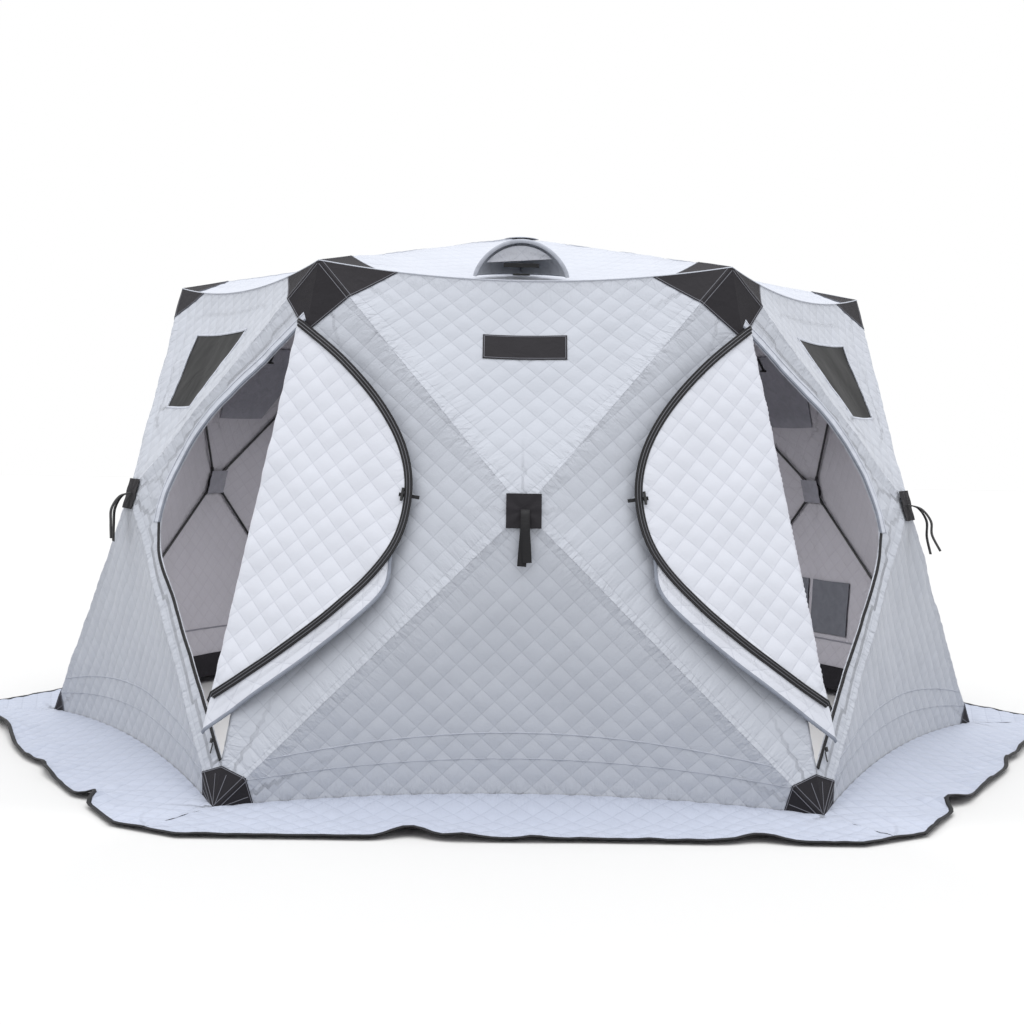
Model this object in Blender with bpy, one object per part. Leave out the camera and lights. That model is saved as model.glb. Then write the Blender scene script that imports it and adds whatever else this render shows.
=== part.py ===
"""Six-sided pop-up ice fishing shelter: insulated fabric walls over hubs and flexible poles.

Frame: origin at the middle of the shelter on the ice, +Z up, front wall facing -Y, two corners on the X axis.
Every wall is a flat trapezium that its centre hub pushes outwards into four facets. Four poles run from each
wall hub to the wall's corners and six run from the roof hub to the eave corners.
Every wall has its own axes: x along the wall, y up the wall, z outwards, from the middle of its bottom edge.
"""

import math

import bpy
import bmesh
from mathutils import Matrix, Vector

# Driving dimensions, metres.
SIDES = 6
BASE_RADIUS = 2.00
EAVE_RADIUS = 1.45
EAVE_HEIGHT = 1.84
ROOF_RISE = 0.24
HUB_BULGE = 0.213
HUB_UP_WALL = 0.968
PLATEAU_SHARE = 0.06
FABRIC = 0.005
SEAM_GAP = 0.001
GROUND_GAP = 0.008
TOP_GAP = 0.008

POLE_RADIUS = 0.0055
FERRULE_RADIUS = 0.0075
TIP_RADIUS = 0.008
POLE_SIDES = 8
TIP_SETBACK = 0.070
POLE_BELOW_RIDGE = 0.017

HUB_RADIUS = 0.045
HUB_THICKNESS = 0.024
HUB_BELOW_FABRIC = 0.020
PIVOT_RADIUS = 0.036
TANG_THICKNESS = 0.005
TANG_HALF_HEIGHT = 0.006
SLOT_WIDTH = 0.006
PIN_RADIUS = 0.002
PIN_HOLE_RADIUS = 0.0026

PATCH_SIDE = 0.116
PATCH_THICKNESS = 0.003
STRAP_WIDTH = 0.025
STRAP_THICKNESS = 0.0025
STRAP_DROP = 0.185

DOOR_GAP = 0.0035
DOOR_AXIS_HEIGHT = 0.003
OPENING_OUTLINE = {"inner": 0.012, "low": 0.215, "high": 1.685, "nose": (0.390, 1.035), "radius": 0.210}
LEAF_OUTLINE = {"inner": 0.022, "low": 0.260, "high": 1.650, "nose": (0.360, 1.040), "radius": 0.205}

WINDOW_HIGH = 0.25
WINDOW_LOW = 0.58
WINDOW_HALF_WIDTH_HIGH = 0.260
WINDOW_HALF_WIDTH_LOW = 0.125
PANE_THICKNESS = 0.002

SKIRT_WIDTH = 0.34
SKIRT_THICKNESS = 0.004
SKIRT_CORNER_EXTRA = 0.05
SKIRT_INNER_RADIUS = 1.93
WEBBING_HEIGHT = 0.013
WEBBING_THICKNESS = 0.003
BINDING_HEIGHT = 0.012

HOOD_HALF_WIDTH = 0.160
HOOD_DEPTH = 0.240
HOOD_HEIGHT = 0.085
HOOD_THICKNESS = 0.004

WALLS = {"front": -90, "front_right": -30, "rear_right": 30, "rear": 90, "rear_left": 150, "front_left": 210}
DOOR_SIDES = {"front_left": 1, "front_right": -1}
WINDOW_WALLS = ("front_left", "front_right", "rear_left", "rear_right")

# Values worked out from the driving dimensions.
FLAT = math.cos(math.pi / SIDES)
HALF_BASE = BASE_RADIUS * math.sin(math.pi / SIDES)
HALF_EAVE = EAVE_RADIUS * math.sin(math.pi / SIDES)
LEAN = math.atan2((BASE_RADIUS - EAVE_RADIUS) * FLAT, EAVE_HEIGHT)
WALL_LENGTH = EAVE_HEIGHT / math.cos(LEAN)
MITRE = 0.62 * FABRIC
OVERLAP = 0.002


def clear_scene():
    """Removes every object that the file opened with."""
    for thing in list(bpy.data.objects):
        bpy.data.objects.remove(thing, do_unlink=True)


def material(name, colour, roughness, metallic=0.0):
    """A plain Principled material, made once for each name."""
    found = bpy.data.materials.get(name)
    if found:
        return found
    made = bpy.data.materials.new(name)
    made.use_nodes = True
    shader = made.node_tree.nodes["Principled BSDF"]
    shader.inputs["Base Color"].default_value = (*colour, 1.0)
    shader.inputs["Roughness"].default_value = roughness
    shader.inputs["Metallic"].default_value = metallic
    return made


def outer_fabric():
    return material("quilted_shell_fabric", (0.60, 0.65, 0.72), 0.75)


def black_webbing():
    return material("black_webbing", (0.03, 0.03, 0.035), 0.8)


def pole_fibreglass():
    return material("pole_fibreglass", (0.02, 0.02, 0.022), 0.45)


def hub_nylon():
    return material("hub_nylon", (0.025, 0.025, 0.028), 0.5)


def door_fabric():
    return material("door_lining_fabric", (0.82, 0.84, 0.86), 0.8)


def window_vinyl():
    return material("window_vinyl", (0.02, 0.022, 0.026), 0.15)


def mesh_from(bm, name):
    """Turns a bmesh into a mesh with outward faces."""
    bmesh.ops.recalc_face_normals(bm, faces=bm.faces)
    mesh = bpy.data.meshes.new(name)
    bm.to_mesh(mesh)
    bm.free()
    return mesh


def add_object(name, mesh, finish, place=None, parent=None):
    """Links a mesh as an object at its place in the world."""
    thing = bpy.data.objects.new(name, mesh)
    bpy.context.scene.collection.objects.link(thing)
    if not mesh.materials:
        mesh.materials.append(finish)
    if place is not None:
        thing.matrix_world = place
    if parent is not None:
        thing.parent = parent
        thing.matrix_parent_inverse = parent.matrix_world.inverted()
    return thing


def add_empty(name, place):
    """An empty on a joint's axis."""
    empty = bpy.data.objects.new(name, None)
    bpy.context.scene.collection.objects.link(empty)
    empty.matrix_world = place
    return empty


def prism(points, height, base=0.0):
    """A bmesh of a flat outline of (x, y) points, raised from base by height."""
    bm = bmesh.new()
    low = [bm.verts.new((x, y, base)) for x, y in points]
    face = bm.faces.new(low)
    raised = bmesh.ops.extrude_face_region(bm, geom=[face])
    top = [item for item in raised["geom"] if isinstance(item, bmesh.types.BMVert)]
    bmesh.ops.translate(bm, verts=top, vec=(0.0, 0.0, height))
    return bm


def combined(mesh, cutter_mesh, operation, place=None):
    """The mesh after a Boolean with the cutter mesh set at its place."""
    body = bpy.data.objects.new("body", mesh)
    cutter = bpy.data.objects.new("cutter", cutter_mesh)
    for thing in (body, cutter):
        bpy.context.scene.collection.objects.link(thing)
    if place is not None:
        cutter.matrix_world = place
    cutter.hide_render = True
    cutter.display_type = "WIRE"
    cut = body.modifiers.new("cut", "BOOLEAN")
    cut.operation = operation
    cut.solver = "EXACT"
    cut.object = cutter
    bpy.context.view_layer.update()
    evaluated = body.evaluated_get(bpy.context.evaluated_depsgraph_get())
    result = bpy.data.meshes.new_from_object(evaluated)
    for thing in (body, cutter):
        bpy.data.objects.remove(thing, do_unlink=True)
    return result


def box_mesh(low, high):
    """A box between two opposite corners."""
    outline = [(low[0], low[1]), (high[0], low[1]), (high[0], high[1]), (low[0], high[1])]
    return mesh_from(prism(outline, high[2] - low[2], low[2]), "box")


def axes_matrix(origin, x_axis, y_axis, z_axis):
    """A placing matrix from an origin and three axes."""
    rows = [(x_axis[i], y_axis[i], z_axis[i], origin[i]) for i in range(3)]
    return Matrix(rows + [(0.0, 0.0, 0.0, 1.0)])


def wall_matrix(azimuth):
    """The axes of the wall that faces this azimuth in degrees."""
    turn = math.radians(azimuth)
    radial = Vector((math.cos(turn), math.sin(turn), 0.0))
    along = Vector((-math.sin(turn), math.cos(turn), 0.0))
    up = radial * -math.sin(LEAN) + Vector((0.0, 0.0, math.cos(LEAN)))
    out = radial * math.cos(LEAN) + Vector((0.0, 0.0, math.sin(LEAN)))
    return axes_matrix(radial * BASE_RADIUS * FLAT, along, up, out)


def wall_corner(side, top):
    """A corner of the wall's outer outline in the wall's axes."""
    return Vector((side * HALF_EAVE, WALL_LENGTH, 0.0)) if top else Vector((side * HALF_BASE, 0.0, 0.0))


def corner_line_x(height):
    """Half the wall's width at a height up the wall."""
    return HALF_BASE + (HALF_EAVE - HALF_BASE) * height / WALL_LENGTH


def plateau_point(side, top):
    """A corner of the small flat that the hub pushes out."""
    corner = wall_corner(side, top)
    hub = Vector((0.0, HUB_UP_WALL, 0.0))
    point = hub.lerp(corner, PLATEAU_SHARE)
    point.z = HUB_BULGE
    return point


def side_facet(side):
    """Axes of a wall's side facet: across it from the corner line, up the corner line, outwards."""
    foot = wall_corner(side, False)
    up = (wall_corner(side, True) - foot).normalized()
    reach = plateau_point(side, False) - foot
    across = (reach - up * reach.dot(up)).normalized()
    out = across.cross(up)
    if out.z < 0:
        out = -out
    return axes_matrix(foot, across, up, out)


def top_facet():
    """Axes of a wall's top facet: along the eave, down the facet, outwards."""
    middle = Vector((0.0, WALL_LENGTH, 0.0))
    along = Vector((1.0, 0.0, 0.0))
    reach = plateau_point(1, True) - middle
    down = (reach - along * reach.dot(along)).normalized()
    return axes_matrix(middle, along, down, -along.cross(down))


def door_outline(shape):
    """A D-shaped outline: a straight hinge side, a round nose and a tangent line from each end."""
    nose = Vector(shape["nose"])
    ends = (Vector((shape["inner"], shape["low"])), Vector((shape["inner"], shape["high"])))
    angles = []
    for end, way in zip(ends, (1, -1), strict=True):
        reach = end - nose
        opened = math.acos(shape["radius"] / reach.length)
        angles.append(math.atan2(reach.y, reach.x) % (2 * math.pi) + way * opened)
    start, stop = angles[0] - 2 * math.pi, angles[1]
    steps = 12
    arc = []
    for step in range(steps + 1):
        angle = start + (stop - start) * step / steps
        arc.append(tuple(nose + Vector((math.cos(angle), math.sin(angle))) * shape["radius"]))
    return [tuple(ends[0])] + arc + [tuple(ends[1])]


def window_outline(inset=0.0):
    """The window's trapezium in the top facet's axes, wider at the eave."""
    high = WINDOW_HALF_WIDTH_HIGH - inset
    low = WINDOW_HALF_WIDTH_LOW - inset
    top, bottom = WINDOW_HIGH + inset, WINDOW_LOW - inset
    return [(-high, top), (high, top), (low, bottom), (-low, bottom)]


def wall_shell():
    """The wall's five facets as a closed sheet, in the wall's axes."""
    bm = bmesh.new()
    layers = []
    for depth in (0.0, FABRIC):
        inset = SEAM_GAP + MITRE * depth / FABRIC
        low, high = GROUND_GAP, WALL_LENGTH - TOP_GAP
        wide, narrow = corner_line_x(low) - inset, corner_line_x(high) - inset
        ring = [(-wide, low), (wide, low), (narrow, high), (-narrow, high)]
        rim = [bm.verts.new((x, y, -depth)) for x, y in ring]
        flat = []
        for side, top in ((-1, False), (1, False), (1, True), (-1, True)):
            point = plateau_point(side, top)
            flat.append(bm.verts.new((point.x, point.y, point.z - depth)))
        layers.append((rim, flat))
    for rim, flat in layers:
        for i in range(4):
            j = (i + 1) % 4
            bm.faces.new((rim[i], rim[j], flat[j], flat[i]))
        bm.faces.new(flat)
    outer, inner = layers[0][0], layers[1][0]
    for i in range(4):
        j = (i + 1) % 4
        bm.faces.new((outer[i], inner[i], inner[j], outer[j]))
    return mesh_from(bm, "wall_shell")


def make_wall(name, place):
    """One wall, with its doorway and window cut through where it has them."""
    mesh = wall_shell()
    cut_depth = 0.03
    if name in DOOR_SIDES:
        opening = mesh_from(prism(door_outline(OPENING_OUTLINE), 2 * cut_depth, -cut_depth), "opening")
        mesh = combined(mesh, opening, "DIFFERENCE", side_facet(DOOR_SIDES[name]))
    if name in WINDOW_WALLS:
        opening = mesh_from(prism(window_outline(), 2 * cut_depth, -cut_depth), "opening")
        mesh = combined(mesh, opening, "DIFFERENCE", top_facet())
    add_object("wall_" + name, mesh, outer_fabric(), place)


def make_pane(name, place):
    """The clear vinyl pane in a window opening."""
    outline = window_outline(inset=0.001)
    mesh = mesh_from(prism(outline, PANE_THICKNESS, -PANE_THICKNESS * 1.5), "pane")
    add_object("window_pane_" + name, mesh, window_vinyl(), place @ top_facet())


def pole_direction(side, top):
    """The in-plane direction from the hub to a corner, and its length."""
    reach = wall_corner(side, top) - Vector((0.0, HUB_UP_WALL, 0.0))
    return reach.normalized(), reach.length


def pole_span(run, rise):
    """Height of the pivot over the pole's tip, and the pole's length, for a ridge of this run and rise."""
    slope = rise / (run * (1.0 - PLATEAU_SHARE))
    tip_height = TIP_SETBACK * slope - POLE_BELOW_RIDGE
    drop = rise - HUB_BELOW_FABRIC - tip_height
    flat_run = run - TIP_SETBACK - PIVOT_RADIUS
    return drop, math.hypot(flat_run, drop)


def pole_mesh(length):
    """A pole along +X from its pivot: drilled tang, ferrule, rod and rubber tip."""
    profile = [
        (0.013, FERRULE_RADIUS),
        (0.055, FERRULE_RADIUS),
        (0.055, POLE_RADIUS),
        (length - 0.030, POLE_RADIUS),
        (length - 0.030, TIP_RADIUS),
        (length, TIP_RADIUS),
    ]
    bm = bmesh.new()
    rings = []
    for x, radius in profile:
        ring = []
        for step in range(POLE_SIDES):
            angle = 2 * math.pi * (step + 0.5) / POLE_SIDES
            ring.append(bm.verts.new((x, radius * math.cos(angle), radius * math.sin(angle))))
        rings.append(ring)
    for first, second in zip(rings, rings[1:]):
        for i in range(POLE_SIDES):
            j = (i + 1) % POLE_SIDES
            bm.faces.new((first[i], first[j], second[j], second[i]))
    bm.faces.new(rings[0])
    bm.faces.new(rings[-1])
    rod = mesh_from(bm, "rod")
    half = TANG_THICKNESS / 2
    tang = box_mesh((-0.006, -half, -TANG_HALF_HEIGHT), (0.020, half, TANG_HALF_HEIGHT))
    pole = combined(rod, tang, "UNION")
    sideways = Matrix.Rotation(math.pi / 2, 4, "X")
    return combined(pole, pin_mesh(PIN_HOLE_RADIUS, 0.01), "DIFFERENCE", sideways)


def pin_mesh(radius, half_length):
    """A hinge pin or its drill, along Z."""
    outline = []
    for step in range(POLE_SIDES):
        angle = 2 * math.pi * step / POLE_SIDES
        outline.append((radius * math.cos(angle), radius * math.sin(angle)))
    return mesh_from(prism(outline, 2 * half_length, -half_length), "pin")


def hub_mesh(angles):
    """A round hub with a fork slot and a hinge pin at each angle, its axis along Z."""
    sides = 24
    outline = []
    for step in range(sides):
        angle = 2 * math.pi * (step + 0.5) / sides
        outline.append((HUB_RADIUS * math.cos(angle), HUB_RADIUS * math.sin(angle)))
    mesh = mesh_from(prism(outline, HUB_THICKNESS, -HUB_THICKNESS / 2), "hub")
    half_slot = SLOT_WIDTH / 2
    for angle in angles:
        turn = Matrix.Rotation(angle, 4, "Z")
        slot = box_mesh((0.027, -half_slot, -HUB_THICKNESS), (0.060, half_slot, HUB_THICKNESS))
        mesh = combined(mesh, slot, "DIFFERENCE", turn)
    for angle in angles:
        turn = Matrix.Rotation(angle, 4, "Z")
        seat = Matrix.Translation((PIVOT_RADIUS, 0.0, 0.0)) @ Matrix.Rotation(math.pi / 2, 4, "X")
        mesh = combined(mesh, pin_mesh(PIN_RADIUS, half_slot + OVERLAP), "UNION", turn @ seat)
    return mesh


def patch_mesh():
    """The reinforcing patch outside a wall hub with its folded pull strap, in the patch's own axes."""
    half = PATCH_SIDE / 2
    patch = box_mesh((-half, -half, 0.0), (half, half, PATCH_THICKNESS))
    wide = STRAP_WIDTH / 2
    strap_base = PATCH_THICKNESS - 0.001
    strap = box_mesh((-wide, -STRAP_DROP, strap_base), (wide, 0.02, strap_base + STRAP_THICKNESS))
    return combined(patch, strap, "UNION")


def make_wall_frame(name, place, meshes):
    """The hub, four poles and outside patch of one wall, under an empty that slides along the wall's normal."""
    centre = Vector((0.0, HUB_UP_WALL, HUB_BULGE - HUB_BELOW_FABRIC))
    slider = add_empty("slide_" + name, place @ Matrix.Translation(centre))
    add_object("hub_" + name, meshes["hub"], hub_nylon(), slider.matrix_world, slider)
    seat = Matrix.Translation((0.0, HUB_UP_WALL, HUB_BULGE + 0.0006))
    add_object("hub_patch_" + name, meshes["patch"], black_webbing(), place @ seat, slider)
    for top in (False, True):
        for side in (-1, 1):
            along, run = pole_direction(side, top)
            drop, length = pole_span(run, HUB_BULGE)
            level = "upper" if top else "lower"
            hand = "left" if side < 0 else "right"
            pivot = centre + along * PIVOT_RADIUS
            aim = (along * math.sqrt(length**2 - drop**2) + Vector((0.0, 0.0, -drop))).normalized()
            pin = Vector((0.0, 0.0, 1.0)).cross(aim).normalized()
            seat = axes_matrix(pivot, aim, pin, aim.cross(pin))
            add_object(f"pole_{name}_{level}_{hand}", meshes[level], pole_fibreglass(), place @ seat, slider)


def make_roof():
    """The roof fabric: six gores from the eave up to a small flat over the roof hub."""
    bm = bmesh.new()
    layers = []
    for depth in (0.0, FABRIC):
        rings = []
        for radius, height in ((EAVE_RADIUS, EAVE_HEIGHT), (EAVE_RADIUS * PLATEAU_SHARE, EAVE_HEIGHT + ROOF_RISE)):
            ring = []
            for corner in range(SIDES):
                angle = 2 * math.pi * corner / SIDES
                spot = (radius * math.cos(angle), radius * math.sin(angle), height - depth)
                ring.append(bm.verts.new(spot))
            rings.append(ring)
        layers.append(rings)
    for eave, flat in layers:
        for i in range(SIDES):
            j = (i + 1) % SIDES
            bm.faces.new((eave[i], eave[j], flat[j], flat[i]))
        bm.faces.new(flat)
    outer, inner = layers[0][0], layers[1][0]
    for i in range(SIDES):
        j = (i + 1) % SIDES
        bm.faces.new((outer[i], inner[i], inner[j], outer[j]))
    add_object("roof", mesh_from(bm, "roof"), outer_fabric())


def make_roof_frame():
    """The roof hub and its six poles, under an empty that slides straight down."""
    centre = Vector((0.0, 0.0, EAVE_HEIGHT + ROOF_RISE - HUB_BELOW_FABRIC))
    slider = add_empty("slide_roof", Matrix.Translation(centre))
    angles = [2 * math.pi * corner / SIDES for corner in range(SIDES)]
    add_object("hub_roof", hub_mesh(angles), hub_nylon(), slider.matrix_world, slider)
    drop, length = pole_span(EAVE_RADIUS, ROOF_RISE)
    mesh = pole_mesh(length)
    flat_run = math.sqrt(length**2 - drop**2)
    for number, angle in enumerate(angles, start=1):
        along = Vector((math.cos(angle), math.sin(angle), 0.0))
        aim = (along * flat_run - Vector((0.0, 0.0, drop))).normalized()
        pin = Vector((0.0, 0.0, 1.0)).cross(aim).normalized()
        seat = axes_matrix(centre + along * PIVOT_RADIUS, aim, pin, aim.cross(pin))
        add_object(f"pole_roof_{number}", mesh, pole_fibreglass(), seat, slider)


def make_door(name):
    """A door leaf folded back over the front wall, under an empty on its hinge line."""
    hand = "left" if name == "front_left" else "right"
    side = -1 if hand == "left" else 1
    facet = wall_matrix(WALLS["front"]) @ side_facet(side)
    other = wall_matrix(WALLS[name]) @ side_facet(DOOR_SIDES[name])
    outs = [Vector(matrix.col[2][:3]) for matrix in (facet, other)]
    middle = (outs[0] + outs[1]).normalized()
    axis_point = facet.translation + middle * (DOOR_AXIS_HEIGHT / middle.dot(outs[0]))
    hinge = facet.copy()
    hinge.translation = axis_point
    pivot = add_empty("hinge_door_" + hand, hinge.normalized())
    mesh = mesh_from(prism(door_outline(LEAF_OUTLINE), FABRIC, DOOR_GAP), "door")
    add_object("door_" + hand, mesh, door_fabric(), facet, pivot)


def hexagon(radius, height):
    """The corners of a hexagon with corners on the X axis."""
    angles = [2 * math.pi * corner / SIDES for corner in range(SIDES)]
    return [Vector((radius * math.cos(angle), radius * math.sin(angle), height)) for angle in angles]


def band(outer, inner, height):
    """A closed band between two outlines with as many points, raised by height."""
    bm = bmesh.new()
    layers = []
    for lift in (0.0, height):
        raised = Vector((0.0, 0.0, lift))
        layers.append([[bm.verts.new(point + raised) for point in ring] for ring in (outer, inner)])
    count = len(outer)
    for i in range(count):
        j = (i + 1) % count
        for ring in (0, 1):
            low, high = layers[0][ring], layers[1][ring]
            bm.faces.new((low[i], low[j], high[j], high[i]))
        for outer_ring, inner_ring in layers:
            bm.faces.new((outer_ring[i], outer_ring[j], inner_ring[j], inner_ring[i]))
    return mesh_from(bm, "band")


def make_skirt():
    """The snow skirt lying on the ice, six flaps joined at the corners."""
    outer = []
    inner = []
    half = HALF_BASE + SKIRT_CORNER_EXTRA
    reach = BASE_RADIUS * FLAT + SKIRT_WIDTH
    for azimuth in sorted(WALLS.values()):
        turn = math.radians(azimuth)
        radial = Vector((math.cos(turn), math.sin(turn), 0.0))
        along = Vector((-math.sin(turn), math.cos(turn), 0.0))
        for side in (-1, 1):
            outer.append(radial * reach + along * half * side)
            inner.append((radial * FLAT + along * 0.45 * side) * SKIRT_INNER_RADIUS)
    add_object("skirt", band(outer, inner, SKIRT_THICKNESS), outer_fabric())


def make_bands():
    """The webbing round the foot of the walls and the binding round the eave."""
    base = 0.011
    corner_lean = (BASE_RADIUS - EAVE_RADIUS) / EAVE_HEIGHT
    outer_radius = BASE_RADIUS - (base + WEBBING_HEIGHT) * corner_lean - (FABRIC + OVERLAP) / FLAT
    outer = hexagon(outer_radius, base)
    inner = hexagon(outer_radius - WEBBING_THICKNESS / FLAT, base)
    add_object("base_webbing", band(outer, inner, WEBBING_HEIGHT), black_webbing())
    inner_radius = EAVE_RADIUS + 0.0045 / FLAT
    base = EAVE_HEIGHT - BINDING_HEIGHT
    outer = hexagon(inner_radius + WEBBING_THICKNESS / FLAT, base)
    inner = hexagon(inner_radius, base)
    add_object("eave_binding", band(outer, inner, BINDING_HEIGHT), black_webbing())


def hood_surface(bm, trim):
    """Rows of points over the hood's half dome, drawn in by trim."""
    rows = []
    for ring in range(6):
        back = math.sin(ring / 6 * math.pi / 2)
        spread = math.cos(ring / 6 * math.pi / 2)
        row = []
        for step in range(13):
            angle = math.pi * step / 12
            x = (HOOD_HALF_WIDTH - trim) * spread * math.cos(angle)
            z = (HOOD_HEIGHT - trim) * spread * math.sin(angle)
            row.append(bm.verts.new((x, (HOOD_DEPTH - trim) * back, z)))
        rows.append(row)
    return rows


def make_vent_hood():
    """The half-moon vent hood on the front roof gore, open at its front."""
    bm = bmesh.new()
    outer = hood_surface(bm, 0.0)
    inner = hood_surface(bm, HOOD_THICKNESS)
    tips = [bm.verts.new((0.0, HOOD_DEPTH - trim, 0.0)) for trim in (0.0, HOOD_THICKNESS)]
    for rows, tip in zip((outer, inner), tips, strict=True):
        for first, second in zip(rows, rows[1:]):
            for i in range(len(first) - 1):
                bm.faces.new((first[i], first[i + 1], second[i + 1], second[i]))
        for i in range(len(rows[-1]) - 1):
            bm.faces.new((rows[-1][i], rows[-1][i + 1], tip))
    for i in range(len(outer[0]) - 1):
        bm.faces.new((outer[0][i], outer[0][i + 1], inner[0][i + 1], inner[0][i]))
    for end in (0, -1):
        for low in range(len(outer) - 1):
            bm.faces.new((outer[low][end], outer[low + 1][end], inner[low + 1][end], inner[low][end]))
        bm.faces.new((outer[-1][end], tips[0], tips[1], inner[-1][end]))
    slope = math.atan2(ROOF_RISE, EAVE_RADIUS * FLAT * (1.0 - PLATEAU_SHARE))
    place = Matrix.Translation((0.0, -EAVE_RADIUS * FLAT + 0.02, EAVE_HEIGHT + 0.02 * math.tan(slope) + 0.001))
    mesh = mesh_from(bm, "vent_hood")
    mesh.shade_smooth()
    mesh.set_sharp_from_angle(angle=math.radians(40))
    add_object("vent_hood", mesh, outer_fabric(), place @ Matrix.Rotation(slope, 4, "X"))


def main():
    """Builds the whole shelter."""
    clear_scene()
    slots = []
    meshes = {"patch": patch_mesh()}
    for top, level in ((False, "lower"), (True, "upper")):
        run = pole_direction(1, top)[1]
        meshes[level] = pole_mesh(pole_span(run, HUB_BULGE)[1])
        for side in (-1, 1):
            along = pole_direction(side, top)[0]
            slots.append(math.atan2(along.y, along.x))
    meshes["hub"] = hub_mesh(slots)
    for name, azimuth in WALLS.items():
        place = wall_matrix(azimuth)
        make_wall(name, place)
        make_wall_frame(name, place, meshes)
        if name in WINDOW_WALLS:
            make_pane(name, place)
    for name in DOOR_SIDES:
        make_door(name)
    make_roof()
    make_roof_frame()
    make_skirt()
    make_bands()
    make_vent_hood()


main()
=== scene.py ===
"""Looks of a six-sided pop-up ice fishing shelter.

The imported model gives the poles, hubs and every joint. This script sews the cloth over them: quilted
wall, roof, skirt and door panels, their zips, bindings, patches, windows and straps. Each wall has its
own axes: x along the wall, y up it and z outwards, from the middle of its bottom edge.
"""

from __future__ import annotations

import logging
import math
from dataclasses import dataclass, field
from enum import Enum
from typing import Callable, Sequence

import bmesh
import bpy
import numpy as np
from mathutils import Matrix, Vector
from mathutils.geometry import convex_hull_2d

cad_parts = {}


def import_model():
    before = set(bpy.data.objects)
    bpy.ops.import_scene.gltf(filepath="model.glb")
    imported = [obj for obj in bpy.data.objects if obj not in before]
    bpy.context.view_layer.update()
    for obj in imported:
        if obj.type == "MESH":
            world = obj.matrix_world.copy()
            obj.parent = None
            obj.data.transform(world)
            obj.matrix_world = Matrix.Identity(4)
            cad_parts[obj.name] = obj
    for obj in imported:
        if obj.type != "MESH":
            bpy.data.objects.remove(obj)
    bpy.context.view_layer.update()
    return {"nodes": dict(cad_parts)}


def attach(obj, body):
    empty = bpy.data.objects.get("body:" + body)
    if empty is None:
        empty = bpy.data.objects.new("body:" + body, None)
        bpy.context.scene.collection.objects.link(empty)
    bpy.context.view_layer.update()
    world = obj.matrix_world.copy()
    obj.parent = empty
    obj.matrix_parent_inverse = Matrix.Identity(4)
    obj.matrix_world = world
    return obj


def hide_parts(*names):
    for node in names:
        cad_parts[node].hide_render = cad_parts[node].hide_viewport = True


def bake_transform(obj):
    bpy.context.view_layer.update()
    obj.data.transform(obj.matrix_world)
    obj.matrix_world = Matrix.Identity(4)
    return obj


LOG = logging.getLogger("shelter")
Points = np.ndarray
Outline = Sequence[tuple[float, float]]
UP = np.array((0.0, 0.0, 1.0))


class Wall(Enum):
    """The six walls by the azimuth, in degrees, that each faces."""

    FRONT = -90
    FRONT_RIGHT = -30
    REAR_RIGHT = 30
    REAR = 90
    REAR_LEFT = 150
    FRONT_LEFT = 210

    @property
    def label(self) -> str:
        """The wall's name as the nodes and bodies spell it."""
        return self.name.lower()


class Sector(Enum):
    """The four triangular panels of a wall, each between two corners and the hub."""

    BOTTOM = "bottom"
    RIGHT = "right"
    TOP = "top"
    LEFT = "left"


DOOR_WALLS = {Wall.FRONT_LEFT: 1, Wall.FRONT_RIGHT: -1}
WINDOW_WALLS = (Wall.FRONT_LEFT, Wall.FRONT_RIGHT, Wall.REAR_LEFT, Wall.REAR_RIGHT)


def linear(code: str) -> tuple[float, float, float, float]:
    """Turns a hex colour into linear RGBA.

    Args:
        code: six hex digits.

    Returns:
        The linear colour with full alpha.
    """
    parts = [int(code[i : i + 2], 16) / 255 for i in (0, 2, 4)]
    red, green, blue = (p / 12.92 if p <= 0.04045 else ((p + 0.055) / 1.055) ** 2.4 for p in parts)
    return (red, green, blue, 1.0)


def add_node(tree: bpy.types.NodeTree, kind: str, **values: object) -> bpy.types.Node:
    """Adds a shader node and sets its properties and unlinked inputs.

    Args:
        tree: the material's node tree.
        kind: the node's type name without its ShaderNode prefix.
        values: properties by name, and inputs by name with spaces written as underscores.

    Returns:
        The new node.
    """
    node = tree.nodes.new("ShaderNode" + kind)
    for key, value in values.items():
        if hasattr(node, key):
            setattr(node, key, value)
            continue
        socket = node.inputs[int(key[3:])] if key.startswith("in_") else node.inputs[key.replace("_", " ")]
        if isinstance(value, bpy.types.NodeSocket):
            tree.links.new(value, socket)
        else:
            socket.default_value = value
    return node


def maths(
    tree: bpy.types.NodeTree, operation: str, first: object, second: object = 0.0
) -> bpy.types.NodeSocket:
    """A Math node's result.

    Args:
        tree: the material's node tree.
        operation: the Math node's operation.
        first: a socket or number.
        second: a socket or number.

    Returns:
        The node's output socket.
    """
    return add_node(tree, "Math", operation=operation, in_0=first, in_1=second).outputs[0]


@dataclass(frozen=True)
class Finish:
    """A plain Principled finish that the others build on."""

    name: str
    colour: str
    roughness: float = 0.8

    def build(self) -> bpy.types.Material:
        """The finish's material, made once."""
        found = bpy.data.materials.get(self.name)
        if found:
            return found
        made = bpy.data.materials.new(self.name)
        made.use_nodes = True
        tree = made.node_tree
        shader = tree.nodes["Principled BSDF"]
        shader.inputs["Base Color"].default_value = linear(self.colour)
        shader.inputs["Roughness"].default_value = self.roughness
        self.dress(tree, shader)
        return made

    def dress(self, tree: bpy.types.NodeTree, shader: bpy.types.Node) -> None:
        """Adds the finish's own texture; the plain finish has none."""


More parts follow.
